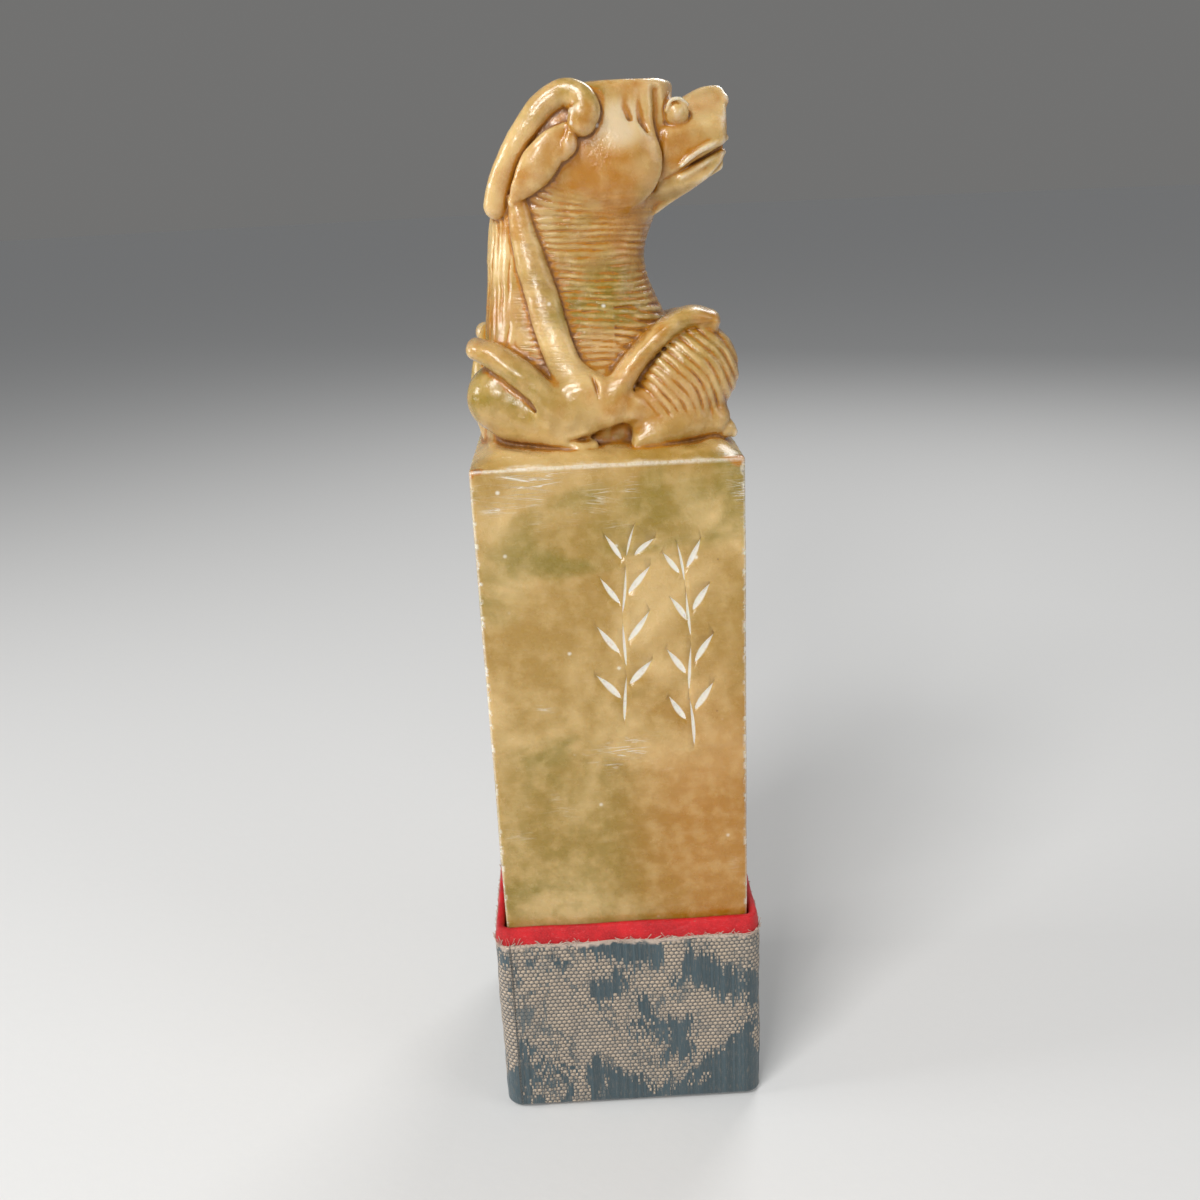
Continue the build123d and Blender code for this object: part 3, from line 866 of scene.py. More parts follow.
def column_points():
    """The column: level rings that are nearly square, a little wavy by hand, with scoops worn out of edges.

    At each height the ring is |x|^p + |y|^p = 1 with p from 40 to 100. The first and last rings draw in, so
    that the edges of both ends are rounded.
    """
    heights = np.concatenate([
        [COLUMN_FOOT, COLUMN_FOOT + 0.05, COLUMN_FOOT + 0.2],
        np.linspace(COLUMN_FOOT + 0.7, COLUMN_TOP - 6, 45),
        np.linspace(COLUMN_TOP - 5.7, COLUMN_TOP - 0.45, 30),
        [COLUMN_TOP - 0.3, COLUMN_TOP - 0.18, COLUMN_TOP - 0.08, COLUMN_TOP - 0.02, COLUMN_TOP],
    ])
    side = np.concatenate([
        -np.geomspace(1, 0.88, 12)[:-1], np.linspace(-0.88, 0.88, 31), np.geomspace(0.88, 1, 12)[1:],
    ])[:-1]
    corners = [(side, -1 + 0 * side), (1 + 0 * side, side), (-side, 1 + 0 * side), (-1 + 0 * side, -side)]
    x = np.concatenate([c[0] for c in corners])
    y = np.concatenate([c[1] for c in corners])
    z = heights[:, None]
    wear = 70 + 30 * np.sin(0.21 * z + 1.0) * np.sin(0.4 * np.arctan2(y, x) + 0.13 * z)
    ring = (np.abs(x) ** wear + np.abs(y) ** wear) ** (-1 / wear)
    foot_in = 0.22 * (1 - smooth_step(z, COLUMN_FOOT - 0.05, COLUMN_FOOT + 0.25))
    top_in = 0.30 * (1 - np.sqrt(np.clip(1 - ((z - COLUMN_TOP + 0.3) / 0.3).clip(0) ** 2, 0, 1)))
    across, deep = x * HALF_STONE, y * HALF_STONE
    wave = 0.030 * np.sin(0.23 * across + 0.11 * z + y) * np.sin(0.17 * z + 0.2 * deep + 0.4)
    wave = wave + 0.012 * np.sin(0.9 * across + 0.7) * np.sin(0.55 * z + 0.8 * deep)
    half = HALF_STONE - foot_in - top_in + wave - 0.03
    points = np.stack([x * ring * half, y * ring * half, np.broadcast_to(z, ring.shape)], -1)
    for a, b, c, r in SCOOPS:
        centre = np.array([a, b, COLUMN_TOP + c])
        away = points - centre
        far = np.linalg.norm(away, axis=-1, keepdims=True)
        points = np.where(far < r, centre + away / far * r, points)
    return points


def column_mesh():
    """The column as a closed mesh, with an extra point in the middle of each end."""
    grid = column_points()
    rows, columns = grid.shape[:2]
    faces = grid_faces(rows, columns, wrap_rows=False)[:, ::-1].tolist()
    points = grid.reshape(-1, 3)
    foot, top = len(points), len(points) + 1
    points = np.vstack([points, [0, 0, COLUMN_FOOT], [0, 0, COLUMN_TOP]])
    last = (rows - 1) * columns
    for j in range(columns):
        after = (j + 1) % columns
        faces.append([after, j, foot])
        faces.append([last + j, last + after, top])
    return mesh_object("column", points, faces)


def stroke_points(stroke, bow):
    """A knife cut: pointed at both ends, wedge-shaped across, deepest at two fifths of its length.

    With s from 0 to 1 along it, width and depth follow s^0.7 (1 - s)^1.05, and its middle bows sideways.
    """
    x0, z0, x1, z1, half = stroke
    s = np.linspace(0.0, 1.0, STROKE_STEPS)
    swell = s**0.7 * (1 - s) ** 1.05
    swell = np.maximum(swell / swell.max(), 0.02)
    length = np.hypot(x1 - x0, z1 - z0)
    along = np.array([x1 - x0, z1 - z0]) / length
    across = np.array([-along[1], along[0]])
    middle = np.array([x0, z0]) + np.outer(s * length, along) + np.outer(bow * length * s * (1 - s), across)
    wide = 1.25 * 1.9 * half * np.outer(swell, across)
    deep = STROKE_DEPTH * np.sqrt(swell) * (0.6 + half)
    clear = np.full(STROKE_STEPS, -0.35)
    rows = []
    for flat, depth in ((middle - wide, clear), (middle, deep), (middle + wide, clear)):
        rows.append(np.stack([flat[:, 0], depth - HALF_STONE, flat[:, 1]], 1))
    return np.stack(rows, 1)


def strokes_mesh():
    """All the knife cuts in one mesh, each a closed wedge."""
    points, faces = [], []
    last = 3 * STROKE_STEPS - 1
    for number, stroke in enumerate(STROKES):
        bow = 0.10 * np.sin(2.4 * number + 0.5)
        start = len(points)
        points.extend(stroke_points(stroke, bow).reshape(-1, 3).tolist())
        faces.extend((grid_faces(STROKE_STEPS, 3, wrap_rows=False) + start).tolist())
        faces.append([start, start + 1, start + 2])
        faces.append([start + last, start + last - 1, start + last - 2])
    return mesh_object("strokes", points, faces)


def face_outwards(piece, merge=False):
    """Merges doubles if asked, and turns all faces outwards."""
    shape = bmesh.new()
    shape.from_mesh(piece.data)
    if merge:
        bmesh.ops.remove_doubles(shape, verts=shape.verts, dist=1e-7)
    bmesh.ops.recalc_face_normals(shape, faces=shape.faces)
    shape.to_mesh(piece.data)
    shape.free()


def box_object(name, low, high):
    """A plain closed box between two corners in mm, for cutting."""
    corners = [[x, y, z] for x in (low[0], high[0]) for y in (low[1], high[1]) for z in (low[2], high[2])]
    faces = [[0, 1, 3, 2], [4, 6, 7, 5], [0, 4, 5, 1], [2, 3, 7, 6], [0, 2, 6, 4], [1, 5, 7, 3]]
    return mesh_object(name, corners, faces)


def combine(piece, other, operation, solver="MANIFOLD"):
    """Unites a piece with another, or cuts the other out of it, and removes the other."""
    faces = len(piece.data.polygons)
    change = piece.modifiers.new(operation.lower(), "BOOLEAN")
    change.operation = operation
    change.object = other
    change.solver = solver
    finish_modifiers(piece)
    if len(piece.data.polygons) <= faces:
        raise RuntimeError(f"{operation.lower()} with {other.name} added no faces to {piece.name}")
    bpy.data.objects.remove(other)


# Materials

class Wire:
    """A value, vector or colour in a shader tree. What is worked out from it becomes Math nodes."""

    def __init__(self, socket):
        self.socket = socket
        self.tree = socket.id_data

    def maths(self, operation, *others, clamp=False):
        """One Math node on this wire and others, or plain numbers."""
        return wire(self.tree, "Math", dict(enumerate((self, *others))), operation=operation, use_clamp=clamp)

    def __add__(self, other):
        return self.maths("ADD", other)

    def __sub__(self, other):
        return self.maths("SUBTRACT", other)

    def __mul__(self, other):
        return self.maths("MULTIPLY", other)

    def __truediv__(self, other):
        return self.maths("DIVIDE", other)

    def __abs__(self):
        return self.maths("ABSOLUTE")


def add_node(tree, kind, inputs=None, **settings):
    """Adds a node. Each input is a wire to join, or a plain value."""
    made = tree.nodes.new("ShaderNode" + kind)
    for name, value in settings.items():
        setattr(made, name, value)
    for name, value in (inputs or {}).items():
        if isinstance(value, Wire):
            tree.links.new(value.socket, made.inputs[name])
        else:
            made.inputs[name].default_value = value
    return made


def wire(tree, kind, inputs=None, output=0, **settings):
    """Adds a node and gives the wire from one of its outputs."""
    return Wire(add_node(tree, kind, inputs, **settings).outputs[output])


def parts(vector):
    """A vector's three numbers."""
    return [Wire(socket) for socket in add_node(vector.tree, "SeparateXYZ", {0: vector}).outputs]


def colour(name):
    """A colour from the settings."""
    return tuple(getattr(bpy.context.scene.seal_colours, name))


def tinted(base, factor, lift=0.0):
    """A colour times a factor, or one factor for each channel, plus a lift."""
    return tuple(float(value) for value in np.minimum(1.0, np.multiply(base, factor) + lift))


def blend(factor, under, over):
    """One colour laid over another. Each is a wire, a plain colour or the name of a colour setting."""
    colours = {}
    for number, value in ((6, under), (7, over)):
        if isinstance(value, str):
            value = colour(value)
        colours[number] = value if isinstance(value, Wire) else (*value, 1)
    return wire(factor.tree, "Mix", {0: factor, **colours}, 2, data_type="RGBA")


def between(value, low, high, start=0.0, end=1.0):
    """The value turned from low..high to start..end along a smooth S, and held there outside."""
    ends = {"Value": value, "From Min": low, "From Max": high, "To Min": start, "To Max": end}
    return wire(value.tree, "MapRange", ends, interpolation_type="SMOOTHSTEP")


def noise(vector, scale, detail=3.0, roughness=0.55, distortion=0.0):
    """Fractal noise from 0 to 1."""
    inputs = {"Vector": vector, "Scale": scale, "Detail": detail, "Roughness": roughness}
    return wire(vector.tree, "TexNoise", {**inputs, "Distortion": distortion})


def mapped(vector, **inputs):
    """A vector that is stretched, then turned, then moved."""
    return wire(vector.tree, "Mapping", {"Vector": vector, **inputs})


def millimetres(tree, stretch=(1, 1, 1), offset=(0, 0, 0)):
    """The piece's own coordinates in mm, stretched and moved."""
    place = wire(tree, "TexCoord", output="Object")
    return mapped(place, Scale=[s / MM for s in stretch], Location=offset)


def attribute(tree, name):
    """A number stored on the piece's points."""
    return wire(tree, "Attribute", output="Fac", attribute_name=name, attribute_type="GEOMETRY")


def new_material(name):
    """An empty material and its tree."""
    material = bpy.data.materials.new(name)
    material.use_nodes = True
    material.node_tree.nodes.clear()
    return material, material.node_tree


def finish_material(material, base, values, layers):
    """Gives a material its Principled shader, with heights in mm and how far each lifts the surface."""
    tree = material.node_tree
    inputs = {"Base Color": base, **values}
    for height, lift in layers:
        lifted = {"Height": height, "Distance": lift * MM, "Strength": 1.0}
        if "Normal" in inputs:
            lifted["Normal"] = inputs["Normal"]
        inputs["Normal"] = wire(tree, "Bump", lifted)
    shader = wire(tree, "BsdfPrincipled", inputs)
    add_node(tree, "OutputMaterial", {"Surface": shader})
    return material


def use_group(tree, name, values, outputs, build):
    """Places a shader group in a material, and makes the group first where there is none yet.

    Build gets the group's own tree and its inputs as wires, and gives its outputs in their order.
    """
    group = bpy.data.node_groups.get(name)
    if group is None:
        group = bpy.data.node_groups.new(name, "ShaderNodeTree")
        for socket, value in values.items():
            made = group.interface.new_socket(socket, in_out="INPUT", socket_type="NodeSocketFloat")
            made.default_value = value
        for socket in outputs:
            group.interface.new_socket(socket, in_out="OUTPUT", socket_type="NodeSocketFloat")
        given = group.nodes.new("NodeGroupInput")
        result = group.nodes.new("NodeGroupOutput")
        built = build(group, *(Wire(given.outputs[socket]) for socket in values))
        for socket, made in zip(outputs, built):
            group.links.new(made.socket, result.inputs[socket])
    placed = tree.nodes.new("ShaderNodeGroup")
    placed.node_tree = group
    for socket, value in values.items():
        placed.inputs[socket].default_value = value
    return [Wire(placed.outputs[socket]) for socket in outputs]


def specks(tree, spacing, size, share):
    """Small round spots, spaced at random. Share is how many places have one, size how wide it is."""

    def build(inside, spacing, size, share):
        place = millimetres(inside)
        scale = wire(inside, "Math", {0: 1.0, 1: spacing}, operation="DIVIDE")
        cells = add_node(inside, "TexVoronoi", {"Vector": place, "Scale": scale}, voronoi_dimensions="3D")
        spot = Wire(cells.outputs["Distance"]) * spacing - noise(place, 6.0, 2.0) * 0.08
        pick = wire(inside, "SeparateColor", {0: Wire(cells.outputs["Color"])})
        return [between(spot, 0.0, size, 1.0, 0.0) * pick.maths("LESS_THAN", share)]

    values = {"Spacing": spacing, "Size": size, "Share": share}
    return use_group(tree, "Specks", values, ["Mask"], build)[0]


def fibres(tree):
    """Short strands lying every way, as in card and paper: a height, and a stain."""

    def build(inside):
        place = wire(inside, "TexCoord", output="Object")
        strands = []
        for turn in (0.3, 1.4, 2.6):
            turned = mapped(place, Rotation=(turn, turn * 1.7, turn * 0.6))
            strands.append(between(noise(mapped(turned, Scale=(900, 6500, 6500)), 1.0, 1.0), 0.62, 0.74))
        height = strands[0].maths("MAXIMUM", strands[1]).maths("MAXIMUM", strands[2])
        return height, between(noise(millimetres(inside), 0.35, 4.0), 0.35, 0.65)

    return use_group(tree, "Fibres", {}, ["Height", "Stain"], build)


def weave(tree, width, height):
    """Rows of knots on the cloth map, in mm, with every second row moved by half a knot.

    With u and v the place over the knot's width and height, and f and g 2.1 times how far that is from the
    knot's middle, the knot's height is 1 - f^2 - g^2. Pick is a random number for each knot, Column for each
    column.
    """

    def build(inside, width, height):
        across, up, _ = parts(wire(inside, "UVMap", uv_map="cloth"))
        v = up / height
        row = v.maths("FLOOR")
        u = across / width + row.maths("MODULO", 2.0) * 0.5
        column = u.maths("FLOOR")
        f = (u - column - 0.5) * 2.1
        g = (v - row - 0.5) * 2.1
        knot = wire(inside, "Math", {0: 1.0, 1: f * f + g * g}, operation="SUBTRACT", use_clamp=True)
        at = wire(inside, "CombineXYZ", {0: column, 1: row})
        pick = wire(inside, "TexWhiteNoise", {"Vector": at}, "Value", noise_dimensions="2D")
        straight = (across / width).maths("FLOOR")
        upright = wire(inside, "TexWhiteNoise", {"W": straight}, "Value", noise_dimensions="1D")
        return knot, pick, upright

    return use_group(tree, "Weave", {"Width": width, "Height": height}, ["Knot", "Pick", "Column"], build)


def stone_veils(tree, x, z, cloud, mottle):
    """Stone colours: clouds, olive and amber veils, the beast's blush and gold, and a painted brow highlight.
    All in mm.
    """
    place = millimetres(tree)
    veil = noise(millimetres(tree, (0.7, 1, 1.2), (31, 7, 3)), CLOUD_SCALE, 3.5, 0.5, 0.6)
    base = blend(between(cloud, 0.42, 0.68), "stone", "cream")
    base = blend(between(veil, 0.49, 0.66, 0, 0.9), base, "olive")
    foot = between(z, 54.0, 26.0) * between(mottle, 0.2, 0.6, 1.0, 0.5)
    base = blend(foot * 0.7, base, "olive")
    warm = between(z, 56.0, 34.0) * between(x + veil * 14.0, 4.0, 15.0)
    warm = warm.maths("MAXIMUM", between(cloud, 0.30, 0.16, 0, 0.6))
    base = blend(warm * 0.75, base, "amber")
    beast = between(z, COLUMN_TOP, COLUMN_TOP + 6)
    base = blend(beast * between(noise(place, 0.16, 3.0), 0.42, 0.64, 0, 0.55), base, "blush")
    gold = beast * between(noise(millimetres(tree, offset=(9, 4, 1)), 0.13, 3.0), 0.46, 0.62)
    base = blend(gold * 0.85, base, "amber")
    base = blend(between(mottle, 0.40, 0.72, 0, 0.32), base, "cream")
    # Painted highlight on the brow: cream round its middle, and powder at its core.
    brow = (x - BROW_HIGHLIGHT[0]).maths("POWER", 2.0) + (z - BROW_HIGHLIGHT[1]).maths("POWER", 2.0)
    base = blend(between(brow, 9.0, 0.5, 0, 0.8), base, "cream")
    return blend(between(brow, 6.0, 0.2, 0, 0.32), base, "powder"), beast


def combed_hair(tree, x, z):
    """Fine level strands on the neck, deepest between the raised rings."""
    strands = noise(millimetres(tree, (0.22, 0.22, 3.2), (4, 4, 4)), 1.0, 3.0, 0.6)
    zone = between(z, 75.0, 80.0) * between(z, 94.5, 90.5) * between(x, -8.5, -6.5)
    zone = zone * between(attribute(tree, "raised"), 0.0, 0.8, 1.0, 0.2)
    return between(strands, 0.42, 0.62) * zone


def scratches(tree, y, z):
    """Fine level scratches in patches, mostly high on the column's front."""
    scratch = None
    for turn, offset in ((0.10, 0.0), (-0.16, 40.0), (0.03, 80.0)):
        tilted = mapped(millimetres(tree), Rotation=(0, turn, turn))
        drawn = mapped(tilted, Scale=(0.06, 0.06, 1.6), Location=(offset, 0, 0))
        line = between(abs(noise(drawn, 1.0, 2.0) - 0.5), 0.004, 0.010, 1.0, 0.0)
        scratch = line if scratch is None else scratch.maths("MAXIMUM", line)
    patchy = noise(millimetres(tree, offset=(7, 7, 7)), 0.12, 2.0) + between(z, 59.0, 65.0, -0.12, 0.12)
    patchy = between(patchy, 0.52, 0.64, 0.03, 1.0) * between(y, -11.6, -12.3, 0.25, 1.0)
    return scratch * patchy * between(z, COLUMN_TOP + 1, COLUMN_TOP - 1)


def stone_material():
    """Polished soapstone: cloudy tan with olive and amber veils, brown dirt in the cuts, pale worn edges,
    painted amber shade in hollows, and a painted highlight on the brow and, partly, on raised forms.
    """
    material, tree = new_material("soapstone")
    place = millimetres(tree)
    x, y, z = parts(place)
    cloud = noise(place, CLOUD_SCALE, 3.0, 0.5, 0.5)
    mottle = noise(millimetres(tree, offset=(5, 60, 9)), 0.55, 4.0, 0.6)
    grit = noise(millimetres(tree, offset=(2, 2, 2)), 2.6, 4.0, 0.7)
    base, beast = stone_veils(tree, x, z, cloud, mottle)
    combed = combed_hair(tree, x, z)
    base = blend(combed * 0.22, base, "patina")
    haunch = between(x, -3.5, -7.0) * between(z, 80.5, 77.0) * beast
    base = blend(haunch * between(mottle, 0.25, 0.6, 0.9, 0.4), base, "olive")
    # Cream on raised forms: partly real wear, partly painted highlight.
    base = blend(attribute(tree, "raised") * between(mottle, 0.30, 0.62, 0.10, 0.60), base, "cream")
    cavity = attribute(tree, "cavity")
    # Amber in the carving's hollows is painted shade; on the front's stains it is their own colour.
    base = blend(between(cavity, 0.0, 0.40, 0, 0.9), base, "amber")
    dirt = between(cavity, 0.55, 1.0) * between(grit, 0.30, 0.62, 0.35, 1.0)
    base = blend(dirt * 0.7, base, "patina")
    base = blend(attribute(tree, "worn") * between(grit, 0.3, 0.6, 0.4, 1.0) * 0.6, base, "powder")
    base = blend(specks(tree, 2.5, 0.25, 0.36) * 0.85, base, "powder")
    pits = specks(tree, 4.5, 0.12, 0.30)
    base = blend(pits * 0.55, base, "patina")
    flakes = between(noise(millimetres(tree, offset=(3, 8, 5)), 0.9, 3.0, 0.6), 0.53, 0.60)
    flakes = flakes * between(abs(x).maths("MINIMUM", abs(y)), HALF_STONE - 0.55, HALF_STONE - 0.12)
    flakes = flakes * between(z, COLUMN_TOP + 0.5, COLUMN_TOP - 0.5)
    base = blend(flakes * 0.85, base, "powder")
    scratch = scratches(tree, y, z)
    base = blend(scratch * 0.8, base, "powder")
    knife = attribute(tree, "knife")
    base = blend(between(knife, 0.05, 0.5) * between(grit, 0.25, 0.5, 0.6, 1.0), base, "powder")
    rough = between(noise(place, 0.9, 4.0), 0.3, 0.7, 0.16, 0.32) + dirt * 0.3
    values = {
        "Roughness": rough.maths("ADD", knife * 0.4, clamp=True),
        "Subsurface Weight": 0.30,
        "Subsurface Radius": (1.0, 0.62, 0.30),
        "Subsurface Scale": 1.4 * MM,
        "Coat Weight": 0.25,
        "Coat Roughness": 0.08,
        "IOR": 1.54,
    }
    return finish_material(material, base, values, (
        (noise(place, 1.6, 4.0), 0.05),
        (grit, 0.03),
        (combed * -1.0, 0.035),
        (scratch * -1.0, 0.02),
        (pits * -1.0, 0.06),
        (flakes * -1.0, 0.08),
    ))


def satin_material():
    """Red satin: fine weave, soft sheen, a little fuzz along the worn lip."""
    material, tree = new_material("red_satin")
    red = colour("satin")
    knot, pick, _ = weave(tree, 0.11, 0.11)
    shade = between(noise(millimetres(tree), 0.5, 3.0), 0.3, 0.7)
    base = blend(shade, tinted(red, 0.62), red)
    base = blend(pick * 0.45, base, tinted(red, 1.12, 0.012))
    fuzz = between(noise(millimetres(tree, (1, 1, 3)), 3.2, 3.0), 0.58, 0.72, 0, 0.14)
    base = blend(fuzz, base, tinted(red, 0.448, 0.4048))
    values = {
        "Roughness": between(knot, 0, 1, 0.50, 0.34),
        "Sheen Weight": 0.03,
        "Specular IOR Level": 0.35,
        "Sheen Roughness": 0.35,
        "Sheen Tint": (1.0, 0.55, 0.5, 1),
    }
    return finish_material(material, base, values, ((knot, 0.02), (noise(millimetres(tree), 2.2, 3.0), 0.05)))


def brocade_material():
    """Woven brocade: beige knots in rows over dark ground, and jagged blue-grey clouds of upright floats."""
    material, tree = new_material("woven_brocade")
    ground, figured = colour("brocade"), colour("figure")
    knot, pick, _ = weave(tree, KNOT_WIDTH, KNOT_HEIGHT)
    _, _, floats = weave(tree, 0.20, 3.0)
    place = wire(tree, "UVMap", uv_map="cloth")
    across, up, _ = parts(place)
    column, row = across.maths("SNAP", KNOT_WIDTH / 2), up.maths("SNAP", KNOT_HEIGHT)
    at = wire(tree, "CombineXYZ", {0: column, 1: row + (floats - 0.5) * 1.9})
    clouds = noise(at, 0.15, 2.5, 0.55, 0.9) + between(up, 1.0, 12.0, 0.105, -0.01)
    outline = between(abs(clouds - 0.475), 0.006, 0.013, 0.8, 0.0)
    figure = between(clouds, 0.530, 0.552).maths("MAXIMUM", outline)
    tone = between(noise(place, 0.35, 3.0), 0.3, 0.7)
    beige = blend(tone, tinted(ground, (0.6696, 0.72, 0.792)), ground)
    beige = blend(pick * 0.7, beige, tinted(ground, 1.22, 0.02))
    beige = blend(between(knot, 0.0, 0.34, 1.0, 0.0) * 0.85, beige, tinted(figured, 0.4, 0.03))
    blue = blend(floats * 0.8, figured, tinted(figured, 1.6, 0.008))
    hairs = noise(mapped(place, Scale=(9, 0.9, 1)), 1.0, 2.0)
    blue = blend(between(hairs, 0.5, 0.72, 0, 0.35), blue, tinted(ground, 0.488, 0.008))
    cloth = blend(figure, beige, blue)
    _, _, z = parts(millimetres(tree))
    z = z + between(noise(millimetres(tree), 0.9, 3.0), 0.3, 0.7, -0.25, 0.25)
    cloth = blend(between(z, CLOTH_TOP - 0.55, CLOTH_TOP - 0.15, 0, 0.8), cloth, "thread")
    height = wire(tree, "Mix", {0: figure, 2: knot, 3: hairs * 0.5}, data_type="FLOAT")
    values = {"Roughness": 0.82, "Sheen Weight": 0.25, "Sheen Roughness": 0.5}
    return finish_material(material, cloth, values, ((height, 0.16), (noise(place, 5.0, 2.0), 0.04)))


def thread_material():
    """Pale loose thread, a little uneven in tone."""
    material, tree = new_material("loose_thread")
    tone = noise(millimetres(tree), 1.2, 2.0)
    base = blend(tone, tinted(colour("thread"), 0.7), "thread")
    return finish_material(material, base, {"Roughness": 0.85, "Sheen Weight": 0.3}, ((tone, 0.02),))


def card_material():
    """Grey card: short pale fibres over faint stains."""
    material, tree = new_material("card_board")
    height, stain = fibres(tree)
    base = blend(stain, tinted(colour("card"), 0.75), "card")
    base = blend(height * 0.35, base, (0.72, 0.66, 0.55))
    layers = ((height, 0.03), (noise(millimetres(tree), 4.0, 3.0), 0.04))
    return finish_material(material, base, {"Roughness": 0.9}, layers)


def paper_material(name, base_colour):
    """Thin brown paper: fibres, a few dark specks and a faint cockle."""
    material, tree = new_material(name)
    height, stain = fibres(tree)
    base = blend(stain, tinted(base_colour, 0.82), base_colour)
    base = blend(height * 0.3, base, (0.75, 0.66, 0.5))
    base = blend(specks(tree, 1.4, 0.09, 0.25) * 0.7, base, (0.12, 0.08, 0.05))
    layers = ((height, 0.015), (noise(millimetres(tree), 0.6, 2.0), 0.05))
    return finish_material(material, base, {"Roughness": 0.85}, layers)


def cotton_material():
    """Loose cotton: tufts and stray fibres."""
    material, tree = new_material("cotton_wadding")
    height, _ = fibres(tree)
    tufts = noise(millimetres(tree), 0.9, 5.0, 0.65, 0.5)
    base = blend(between(tufts, 0.3, 0.7), tinted(colour("cotton"), 0.8), "cotton")
    base = blend(height * 0.5, base, (0.92, 0.9, 0.85))
    values = {"Roughness": 0.95, "Sheen Weight": 0.4}
    return finish_material(material, base, values, ((tufts, 0.25), (height, 0.04)))


def floor_material():
    """The stage's pale matte paper, with a faint tooth."""
    material, tree = new_material("stage_paper")
    tooth = noise(millimetres(tree), 0.8, 3.0)
    base = blend(tooth, tinted(colour("floor"), 0.985), "floor")
    return finish_material(material, base, {"Roughness": 0.9}, ((tooth, 0.02),))


# Pieces

def curve_at(stone, places):
    """How the carving curves at its places: below 0 in a hollow and above 0 on an edge.

    It is the mean of the carving's distances over a small cube round the place, less the value there. Two
    cubes are added, and each mean is a difference of running sums along X, Y and Z in turn.
    """
    field = np.clip(stone.field, -1.5, 1.5)
    curve = 0
    for reach, weight in ((2, 2.6), (5, 1.3)):
        mean = field
        for axis in range(3):
            sums = np.cumsum(mean, axis=axis, dtype=np.float64)
            margin = [(0, 0)] * 3
            margin[axis] = (reach + 1, reach)
            sums = np.pad(sums, margin, mode="edge")
            width = 2 * reach + 1
            high = np.take(sums, range(width, sums.shape[axis]), axis)
            low = np.take(sums, range(0, sums.shape[axis] - width), axis)
            mean = ((high - low) / width).astype(np.float32)
        value = sample(mean - field, stone.low, stone.cell, places)
        curve = curve + weight * value / (reach * stone.cell)
    return curve


def stone_marks(piece, stone):
    """Stores four marks on each point, from 0 to 1: in a hollow, worn, raised, and cut by the knife."""
    points = np.empty(len(piece.data.vertices) * 3, np.float32)
    piece.data.vertices.foreach_get("co", points)
    points = points.reshape(-1, 3).astype(float) / MM
    over = points - [0, 0, COLUMN_TOP]
    curve = curve_at(stone, over)
    shown = smooth_step(over[:, 2], -0.3, 0.3)
    cavity = smooth_step(-curve, 0.03, 0.75) * shown
    worn = smooth_step(curve, 0.45, 1.3) * shown
    x, y, z = points.T
    square = np.sort(np.abs(points[:, :2]), axis=1)
    upright = smooth_step(square[:, 0], HALF_STONE - 0.35, HALF_STONE - 0.12) * (over[:, 2] < -0.1)
    top_edge = smooth_step(square[:, 1], HALF_STONE - 0.25, HALF_STONE - 0.08) * (over[:, 2] < 0.4)
    top_edge = top_edge * smooth_step(over[:, 2], -0.4, -0.2)
    worn = np.maximum(worn, np.maximum(upright, top_edge))
    for a, b, c, r in SCOOPS:
        away = np.linalg.norm(over - [a, b, c], axis=1)
        worn = np.maximum(worn, smooth_step(away, r + 0.12, r + 0.03))
    for a, b, c, r, depth in STAINS:
        away = np.linalg.norm(over - [a, b, c], axis=1)
        cavity = np.maximum(cavity, depth * smooth_step(away, r, 0.4 * r))
    front = (y < -HALF_STONE + 0.6) * (np.abs(x) < 11) * (z > 40) * (z < 66)
    marks = {
        "cavity": cavity,
        "worn": worn,
        "raised": smooth_step(curve, 0.02, 0.5) * shown,
        "knife": smooth_step(y + HALF_STONE, 0.07, 0.16) * front,
    }
    for name, values in marks.items():
        made = piece.data.attributes.new(name, "FLOAT", "POINT")
        made.data.foreach_set("value", values.astype(np.float32))


def printing_hollows():
    """What the printing face lacks between its border and fret, as the frame has it: a box less the stone."""
    half, below, above = HALF_STONE - 0.6, COLUMN_FOOT - 0.8, COLUMN_FOOT + 1.6
    hollows = box_object("printing_hollows", (-half, -half, below), (half, half, above))
    node = bpy.context.scene.objects["seal_stone"]
    copy = bpy.data.objects.new("stone_copy", node.data.copy())
    bpy.context.scene.collection.objects.link(copy)
    face_outwards(copy, merge=True)
    combine(hollows, copy, "DIFFERENCE", "EXACT")
    return hollows


def carve_stone():
    """The whole seal stone as one closed mesh."""
    cell = bpy.context.scene.seal_sizes.carving_cell / MM
    points, quads, stone = beast_surface(cell)
    beast = mesh_object("seal_stone_carved", points + [0, 0, COLUMN_TOP], quads)
    thin = beast.modifiers.new("thin", "DECIMATE")
    thin.ratio = min(1.0, bpy.context.scene.seal_sizes.stone_triangles / (2 * len(quads)))
    finish_modifiers(beast)
    combine(beast, column_mesh(), "UNION")
    cuts = strokes_mesh()
    face_outwards(cuts)
    combine(beast, cuts, "DIFFERENCE")
    combine(beast, printing_hollows(), "DIFFERENCE")
    beast.data.shade_smooth()
    beast.data.set_sharp_from_angle(angle=np.radians(SHARP_FROM))
    stone_marks(beast, stone)
    return beast


def cloth_object(name, profile, path, points):
    """A cloth from a carried profile. Its map in mm says how far round and along the profile a place is."""
    steps = np.abs(np.diff(np.array(profile), axis=0)).sum(1)
    run = np.concatenate([[0], np.cumsum(steps)])
    uv = np.stack(np.broadcast_arrays(path[2][:, None], run), -1).reshape(-1, 2)
    return mesh_object(name, points.reshape(-1, 3), grid_faces(*points.shape[:2]), uv)


